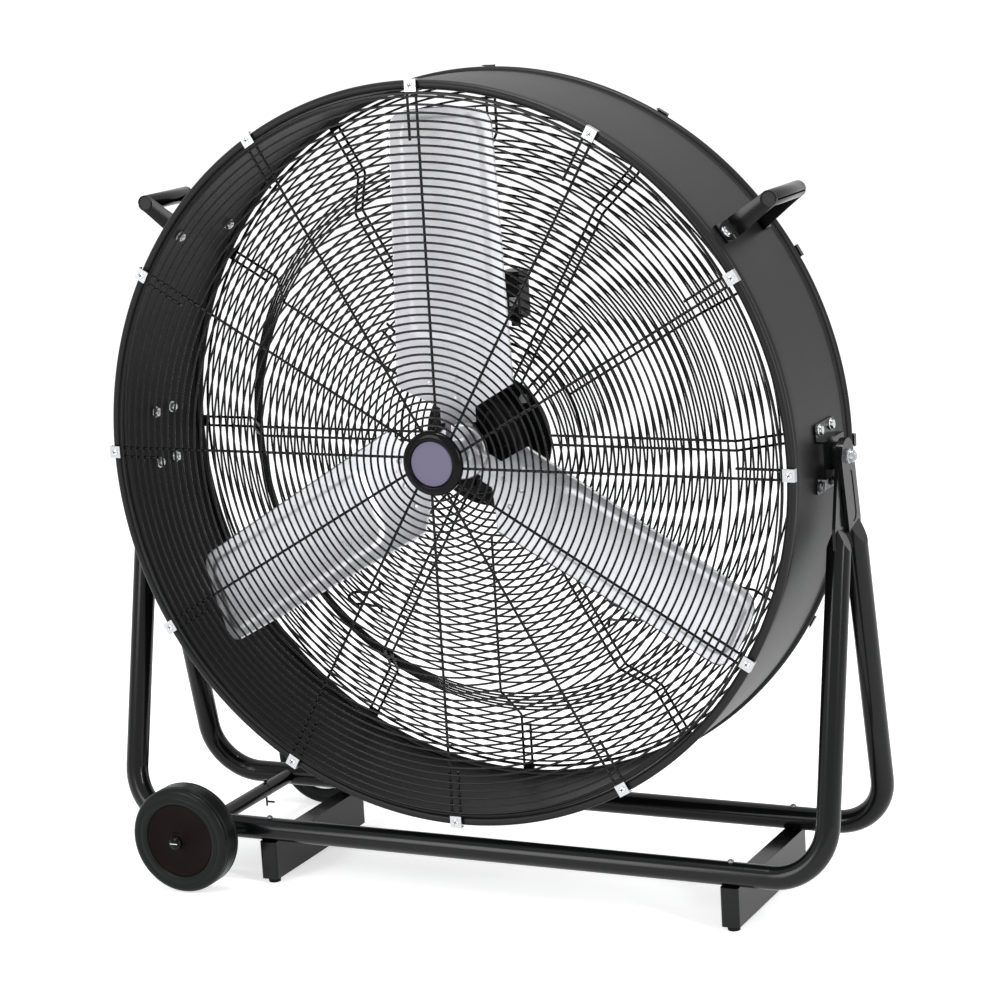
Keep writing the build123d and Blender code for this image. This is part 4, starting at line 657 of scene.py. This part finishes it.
# ------------------------------------------------------------ handles
HANDLE_Y = -0.010
HANDLE_HALF = 0.060             # to the outside of an arm
HANDLE_RISE = 0.078             # drum surface to the grip's middle
HANDLE_END = 0.086              # end of a foot
FOOT_HALF = 0.015               # half the width of a foot
FOOT_GAP = 0.00005              # between the drum's sheet and a foot
FOOT_LEAD, ARM_LEAD = 0.004, 0.002  # straight lengths before and after the bend
STRAP_EDGE = 0.0006             # rounding of the straps' and the grip's edges
STRAP = 0.004                   # thickness
BEND = 0.009                    # radius on the outside of the bend over the foot
GRIP_R = 0.012
GRIP_WALL = 0.002
GRIP_OVER = 0.001               # the grip's reach beyond the arms
GRIP_STEPS = 56
GRIP_TOP = 0.9995               # share of the grip's radius that the arms' round tops reach
SEAM_HALF = 0.0012              # half the gap along the rolled grip
SEAM_TURN = math.radians(45)
MOUTH = [(0.0096, 0.0), (0.0, 0.0)]  # profile of a dark disc in a grip's open end, painted shade inside the rolled tube
MOUTH_OUT = 0.0002              # from an arm's outside to that disc
MOUTH_SIDES = 40


def strap_width(height):
    """Half the strap's width: full at the foot, drawn in to the grip and rounded around it."""
    over = height - HANDLE_RISE
    if over > 0:
        return math.sqrt(max(0.0, GRIP_R ** 2 - over ** 2))
    if height > STRAP:
        return GRIP_R + (FOOT_HALF - GRIP_R) * ease(1 - height / HANDLE_RISE)
    return FOOT_HALF


def strap_line(foot, radius, arm):
    """One side of a strap, as (y, height) points along its foot, its bend and its arm to the top."""
    line = [(HANDLE_END, foot), (HANDLE_HALF + BEND + FOOT_LEAD, foot)]
    line += [(HANDLE_HALF + BEND - radius * math.sin(math.radians(t)),
              STRAP + BEND - radius * math.cos(math.radians(t))) for t in range(0, 91, 15)]
    line += [(arm, h) for h in between(STRAP + BEND + ARM_LEAD, HANDLE_RISE, 14)]
    line += [(arm, HANDLE_RISE + GRIP_R * math.sin(math.radians(t))) for t in range(0, 90, 10)]
    return line + [(arm, HANDLE_RISE + GRIP_R * GRIP_TOP)]


def bent_strap(build, foot, out, across, end):
    """A strap standing on the drum, at the grip's rear end for 1 and at its front end for -1."""
    outer = strap_line(STRAP, BEND, HANDLE_HALF)
    inner = strap_line(0.0, BEND + STRAP, HANDLE_HALF - STRAP)
    verts = []
    for line in (outer, inner):
        for (y, h), (_, level) in zip(line, outer):
            half = strap_width(level)
            for k in (-1, 1):
                place = foot + across * (k * half) + out * h
                verts.append((place.x, place.y + end * y, place.z))
    count = len(outer)
    faces = []
    for i in range(count - 1):
        a, b = 2 * i, 2 * i + 2
        c, d = 2 * (count + i), 2 * (count + i) + 2
        faces += [[a, b, b + 1, a + 1], [c + 1, d + 1, d, c]]
        faces += [[a, c, d, b], [a + 1, b + 1, d + 1, c + 1]]
    faces += [[0, 1, 2 * count + 1, 2 * count],
              [2 * count - 2, 4 * count - 2, 4 * count - 1, 2 * count - 1]]
    build.add(verts, faces)


def rolled_grip(build, middle, out, sideways):
    """A tube rolled from sheet, with a narrow gap along it."""
    gap = math.asin(SEAM_HALF / GRIP_R)
    turns = between(gap, 2 * math.pi - gap, GRIP_STEPS) + [2 * math.pi - gap]
    verts = []
    for y in (-HANDLE_HALF - GRIP_OVER, HANDLE_HALF + GRIP_OVER):
        for radius in (GRIP_R, GRIP_R - GRIP_WALL):
            for a in turns:
                t = a + SEAM_TURN
                place = middle + out * (radius * math.cos(t)) + sideways * (radius * math.sin(t))
                verts.append((place.x, place.y + y, place.z))
    n = len(turns)
    faces = []
    for i in range(n - 1):
        j = i + 1
        faces += [[i, j, 2 * n + j, 2 * n + i], [n + j, n + i, 3 * n + i, 3 * n + j]]
        faces += [[j, i, n + i, n + j], [2 * n + i, 2 * n + j, 3 * n + j, 3 * n + i]]
    faces += [[0, 2 * n, 3 * n, n], [n - 1, 2 * n - 1, 4 * n - 1, 3 * n - 1]]
    build.add(verts, faces)


def handle(name, side):
    """Two bent straps with rounded tops, and a rolled grip between them that is open at both ends, with
    a dark disc in each end as painted shade inside the tube.
    """
    out = outward(side * HANDLE_ANGLE)
    across = out.cross(Vector((0, 1, 0)))
    foot = clock(side * HANDLE_ANGLE, SHELL_R + FOOT_GAP, HANDLE_Y)
    middle = foot + out * HANDLE_RISE
    straps, mouth_shade = Build(), Build()
    for end in (1, -1):
        bent_strap(straps, foot, out, across, end)
        mouth = middle + Vector((0, end * (HANDLE_HALF + MOUTH_OUT), 0))
        mouth_shade.add(*turned(MOUTH, frame_at(mouth, (0, end, 0)), MOUTH_SIDES))
    rolled_grip(straps, middle, out, across * -side)
    made = straps.make(f"handle_strap_{name}", "black_paint", "drum", stands_for=[f"handle_{name}"])
    soften(made, STRAP_EDGE, 2, 50)
    # dark discs in the grip's ends: painted shade inside the tube
    mouth_shade.make(f"handle_mouth_shade_{name}", "black_paint", "drum", material=PAINTED_SHADE)


handle("right", 1)
handle("left", -1)

# ------------------------------------------------------------ cord hooks
HOOK_WIRE = 0.0023              # radius
WIRE_SIDES = 10
WIRE_END = 0.6                  # share of the radius at a wire's two ends
HOOK_Y = 0.0542
HOOK_Z = 0.409
HOOK_X = {1: -0.209, -1: 0.176}  # the left hook, and the right one that mirrors it
HOOK_STEPS = 6                  # points of the curve from one point of the shape to the next
HOOK_LEAN = 0.485               # half the right hook's sideways lean, per metre rearwards
# across, up and rearwards, from the middle of the hook's open end
HOOK_SHAPE = [(-0.016, 0.017, 0.030), (-0.018, 0.009, 0.030), (-0.017, 0.008, 0.012),
              (-0.023, 0.0095, 0.0), (-0.046, 0.0085, 0.0), (-0.056, 0.000, 0.0),
              (-0.049, -0.0095, 0.0), (-0.027, -0.0095, 0.0), (-0.021, -0.015, 0.012),
              (-0.018, -0.020, 0.030), (-0.015, -0.030, 0.030)]
ASKEW = Vector((0.3, 1, 0.2))   # a direction that no wire starts along


def smooth_path(points, steps):
    """Catmull-Rom curve through the points."""
    ends = [points[0] * 2 - points[1]] + points + [points[-1] * 2 - points[-2]]
    path = []
    for i in range(1, len(ends) - 2):
        a, b, c, d = ends[i - 1:i + 3]
        for k in range(steps):
            t = k / steps
            path.append(((b * 2) + (c - a) * t + (a * 2 - b * 5 + c * 4 - d) * t * t
                         + (b * 3 - a - c * 3 + d) * t ** 3) / 2)
    return path + [points[-1]]


def wire(build, points, radius):
    """Round wire along a path, drawn in at both ends."""
    across = (points[1] - points[0]).cross(ASKEW).normalized()
    verts = []
    for i, point in enumerate(points):
        along = (points[min(i + 1, len(points) - 1)] - points[max(i - 1, 0)]).normalized()
        across = (across - along * across.dot(along)).normalized()
        other = along.cross(across)
        r = radius if 0 < i < len(points) - 1 else radius * WIRE_END
        for k in range(WIRE_SIDES):
            a = 2 * math.pi * k / WIRE_SIDES
            verts.append(tuple(point + across * (r * math.cos(a)) + other * (r * math.sin(a))))
    faces = grid_faces(len(points), WIRE_SIDES, False, True)
    faces += [list(range(WIRE_SIDES))[::-1], [len(verts) - WIRE_SIDES + k for k in range(WIRE_SIDES)]]
    build.add(verts, faces)


hooks = Build()
for side, reach in HOOK_X.items():
    bent = []
    for x, z, back in HOOK_SHAPE:
        lean = HOOK_LEAN * back
        bent.append(Vector((reach + side * (x + lean) - lean, HOOK_Y + back, HOOK_Z + z)))
    wire(hooks, smooth_path(bent, HOOK_STEPS), HOOK_WIRE)
hooks.make("bent_cord_hooks", "black_wire", "drum", stands_for=["cord_hooks"])

# ------------------------------------------------------------ wheels
WHEEL_EDGE = WHEEL_WIDE / 2
TYRE_TURNS = 144
DISC_TURNS = 96
DISC_FACE = WHEEL_EDGE - 0.0030  # the disc's raised rim, from the wheel's middle
RIM_TUBE = 0.0569               # radius of the disc's edge, under the tyre
RIM_INSET = 0.004               # from the tyre's side to that edge
HUB_REACH = 0.005               # the hub's reach beyond the tyre on the outer side
# (depth, distance from the tyre's middle) across the tread and one of its grooves
TREAD = [(0.0, 0.0142), (0.0001, 0.0134), (0.0014, 0.0130), (0.0016, 0.0120), (0.0014, 0.0110),
         (0.0001, 0.0106), (0.0, 0.0098), (0.0, 0.0050), (0.0, 0.0)]
CAP_R, CAP_HIGH, CAP_SIDE = 0.0105, 0.0088, 0.0045
CAP_SEAT = 0.0055               # beyond the tyre
CAP_SIDES = 40
CAP_SLOT = (0.0062, 0.0006, 0.0070, 0.00895)  # half length, half width, lowest and highest


def tyre_half():
    """Half a tyre's section, as (radius, distance from its middle): bead, wall, shoulder, tread."""
    half = [(0.0573, WHEEL_EDGE - 0.0035), (0.0577, WHEEL_EDGE - 0.0016)]
    half += arc(0.0610, WHEEL_EDGE - 0.0026, 0.0026, 160, 90, 5)
    half += [(0.0655, WHEEL_EDGE - 0.0001), (0.0672, WHEEL_EDGE - 0.0006), (0.0682, WHEEL_EDGE - 0.0013),
             (0.0694, WHEEL_EDGE - 0.0006), (0.0712, WHEEL_EDGE - 0.0002)]
    half += arc(WHEEL_R - 0.0085, WHEEL_EDGE - 0.0086, 0.0085, 82, 8, 9)
    return half + [(WHEEL_R - sink, h) for sink, h in TREAD]


def disc_half(reach):
    """One side of a disc, as (radius, distance from its middle): raised rim, web and hub."""
    return [(0.0568, DISC_FACE - 0.0012), (0.0568, DISC_FACE - 0.0002), (0.0560, DISC_FACE),
            (0.0545, DISC_FACE), (0.0537, DISC_FACE - 0.0006), (0.0300, DISC_FACE - 0.0006),
            (0.0170, DISC_FACE - 0.0006), (0.0158, DISC_FACE), (0.0146, DISC_FACE + 0.0010),
            (0.0130, DISC_FACE + 0.0016), (0.0129, reach - 0.0010), (0.0120, reach), (0.0082, reach),
            (0.0082, DISC_FACE - 0.0030)]


def wheel(body, name, direction):
    """Solid tyre with grooves and a disc with a raised rim, spun about the axle."""
    mid = direction * WHEEL_MID[direction]
    centre = (WHEEL_X, WHEEL_Z)
    half = tyre_half()
    loop = [(r, mid + h) for r, h in half] + [(r, mid - h) for r, h in reversed(half[:-1])]
    tyre, disc, inner_plate = Build(), Build(), Build()
    tyre.add(*spun(loop, centre, TYRE_TURNS))
    tyre.make(f"{name}_tread", "tyre_rubber", body, stands_for=[f"tyre_{name}"])
    for face in (1, -1):
        outer_side = face * direction > 0
        reach = WHEEL_EDGE + HUB_REACH if outer_side else WHEEL_EDGE
        profile = [(r, mid + face * h) for r, h in disc_half(reach)]
        side = disc if outer_side else inner_plate
        side.add(*spun(profile, centre, DISC_TURNS, closed=False))
    inner_plate.make(f"{name}_inner_plate", "steel", body)
    tube = [(RIM_TUBE, mid - WHEEL_EDGE + RIM_INSET), (RIM_TUBE, mid + WHEEL_EDGE - RIM_INSET)]
    disc.add(*spun(tube, centre, DISC_TURNS, closed=False))
    disc.make(f"{name}_disc", "wheel_plastic", body, stands_for=[f"wheel_disc_{name}"])


wheel("wheel_front", "front", -1)
wheel("wheel_rear", "rear", 1)

caps, cap_slots = Build(), Build()
for direction in (1, -1):
    cap_y = direction * (WHEEL_MID[direction] + WHEEL_EDGE + CAP_SEAT)
    place = frame_at((WHEEL_X, cap_y, WHEEL_Z), (0, direction, 0))
    caps.add(*turned(dome(CAP_R, CAP_HIGH, CAP_SIDE), place, CAP_SIDES))
    slot_bar(cap_slots, place, *CAP_SLOT)
caps.make("domed_axle_caps", "black_plastic", "stand", stands_for=["axle_caps"], material=GLOSS_BLACK)
cap_slots.make("axle_cap_slots", "zinc", "stand", smooth=False)

# ------------------------------------------------------------ badge
BADGE_FRONT = -0.15325
BADGE_BACK = -0.1443
BADGE_TURNS, PLATE_TURNS = 128, 96
# (radius, depth behind the ring's front) over the round ring and over the plate inside it
BADGE_RING = [(0.0342, 0.0030), (0.0343, 0.0012), (0.0349, 0.0004), (0.0362, 0.0), (0.0392, 0.0001),
              (0.0422, 0.0007), (0.0448, 0.0019), (0.0467, 0.0037), (0.0477, 0.0056), (0.0480, 0.0072)]
BADGE_PLATE = [(0.0, 0.0014), (0.010, 0.00142), (0.022, 0.0015), (0.031, 0.0016), (0.0326, 0.0019),
               (0.0331, 0.0025)]

ring = [(r, BADGE_FRONT + sink) for r, sink in BADGE_RING]
ring += [(0.0480, BADGE_BACK), (0.0200, BADGE_BACK)]
badge_ring = Build()
badge_ring.add(*spun(ring, (0, AXIS_Z), BADGE_TURNS, closed=False))
badge_ring.make("badge_ring", "black_plastic", "drum", stands_for=["badge_holder"],
                material=GLOSS_BLACK)
plate = [(r, BADGE_FRONT + sink) for r, sink in BADGE_PLATE]
badge_plate = Build()
badge_plate.add(*spun(plate, (0, AXIS_Z), PLATE_TURNS, closed=False))
badge_plate.make("badge_plate", "badge_metal", "drum", stands_for=["badge_face"])

# ------------------------------------------------------------ softened edges on the CAD pieces
SOFT_EDGES = {
    "front_clips": 0.0004, "rear_clips": 0.0004, "pivot_bracket_left": 0.0006,
    "pivot_bracket_right": 0.0006, "channel_left": 0.0008, "channel_right": 0.0008,
    "switch_box": 0.0006, "switch_cover": 0.0006, "speed_knob": 0.0008, "motor_plate": 0.0005,
    "hub": 0.0004, "front_hoop": 0.0022, "rear_hoop": 0.0022, "pivot_spacers": 0.0006,
    "wheel_spacers": 0.0004, "motor_front_bell": 0.0005, "motor_plate_bolts": 0.0005,
    "motor_plate_nuts": 0.0005, "cable_gland": 0.0004,
}
for node_name, width in SOFT_EDGES.items():
    soften(nodes[node_name], width, 3 if node_name.endswith("hoop") else 2, 40)

# ------------------------------------------------------------ studio
FLOOR_SIZE = 60.0
FLOOR_COLOUR = (0.93, 0.93, 0.93, 1)
FLOOR_GLOW = 0.62               # seen by the camera and in reflections only
WORLD_SEEN = 1.0                # strength of the white background
WORLD_LIGHT = 0.50              # strength of the light from all around
WORLD_TINT = (0.97, 0.98, 1.0)


def seen_ray(tree):
    """1 for rays from the camera, from shiny surfaces and through clear ones, else 0."""
    path = tree.nodes.new("ShaderNodeLightPath")
    value = path.outputs["Is Camera Ray"]
    for kind in ("Is Glossy Ray", "Is Transmission Ray"):
        most = tree.nodes.new("ShaderNodeMath")
        most.operation = "MAXIMUM"
        tree.links.new(value, most.inputs[0])
        tree.links.new(path.outputs[kind], most.inputs[1])
        value = most.outputs["Value"]
    return value


def floor():
    """A wide matte floor that looks almost white."""
    material, tree, bsdf = principled("studio_floor")
    bsdf.inputs["Base Color"].default_value = FLOOR_COLOUR
    bsdf.inputs["Roughness"].default_value = 0.9
    bsdf.inputs["Specular IOR Level"].default_value = 0.1
    bsdf.inputs["Emission Color"].default_value = (1, 1, 1, 1)
    glow = tree.nodes.new("ShaderNodeMath")
    glow.operation = "MULTIPLY"
    glow.inputs[1].default_value = FLOOR_GLOW
    tree.links.new(seen_ray(tree), glow.inputs[0])
    tree.links.new(glow.outputs["Value"], bsdf.inputs["Emission Strength"])
    bpy.ops.mesh.primitive_plane_add(size=FLOOR_SIZE, location=(0, 0, 0))
    plane = bpy.context.object
    plane.name = "floor"
    plane.data.materials.append(material)


def background(tree, colour, strength):
    """A background of one colour."""
    node = tree.nodes.new("ShaderNodeBackground")
    node.inputs["Color"].default_value = (*colour, 1)
    node.inputs["Strength"].default_value = strength
    return node.outputs["Background"]


def white_world():
    """White where it is seen, and a soft light elsewhere."""
    world = bpy.data.worlds.new("studio")
    bpy.context.scene.world = world
    world.use_nodes = True
    tree = world.node_tree
    tree.nodes.clear()
    seen = background(tree, (1, 1, 1), WORLD_SEEN)
    soft = background(tree, WORLD_TINT, WORLD_LIGHT)
    either = tree.nodes.new("ShaderNodeMixShader")
    surface = tree.nodes.new("ShaderNodeOutputWorld")
    tree.links.new(seen_ray(tree), either.inputs["Fac"])
    tree.links.new(soft, either.inputs[1])
    tree.links.new(seen, either.inputs[2])
    tree.links.new(either.outputs["Shader"], surface.inputs["Surface"])


def area_light(name, location, target, size, power):
    """A rectangular light, aimed at a target; size is its width and height, power is in watts."""
    data = bpy.data.lights.new(name, "AREA")
    data.shape = "RECTANGLE"
    data.size, data.size_y = size
    data.energy = power
    lamp = bpy.data.objects.new(name, data)
    lamp.location = location
    direction = Vector(target) - Vector(location)
    lamp.rotation_euler = direction.to_track_quat("-Z", "Y").to_euler()
    bpy.context.scene.collection.objects.link(lamp)


floor()
white_world()
area_light("key_left", (-1.45, -3.1, 1.75), (0, 0, 0.5), (1.2, 1.7), 52)
area_light("fill_right", (3.4, -1.6, 1.7), (0, 0, 0.7), (0.26, 1.8), 60)
area_light("top", (0.2, -0.3, 3.4), (0, 0, 0.5), (1.8, 0.34), 65)

# ------------------------------------------------------------ camera
CAMERA_PLACE = (1.8996, -3.8472 + FAN_Y, 1.4785)
CAMERA_TURN = 25.88334          # degrees, to the left of straight rearwards
CAMERA_DIP = 11.77537           # degrees below level
CAMERA_ROLL = -3.31530          # degrees about the line of sight
SENSOR = 36.0                   # millimetres, as is the lens
LENS = 105.57

camera_data = bpy.data.cameras.new("camera")
camera_data.sensor_width = SENSOR
camera_data.lens = LENS
camera_data.dof.use_dof = False
camera = bpy.data.objects.new("camera", camera_data)
bpy.context.scene.collection.objects.link(camera)
turn = Matrix.Rotation(math.radians(CAMERA_TURN), 4, "Z")
dip = Matrix.Rotation(math.radians(90 - CAMERA_DIP), 4, "X")
roll = Matrix.Rotation(math.radians(CAMERA_ROLL), 4, "Z")
camera.matrix_world = Matrix.Translation(CAMERA_PLACE) @ turn @ dip @ roll
bpy.context.scene.camera = camera
bpy.context.scene.view_settings.view_transform = "Standard"
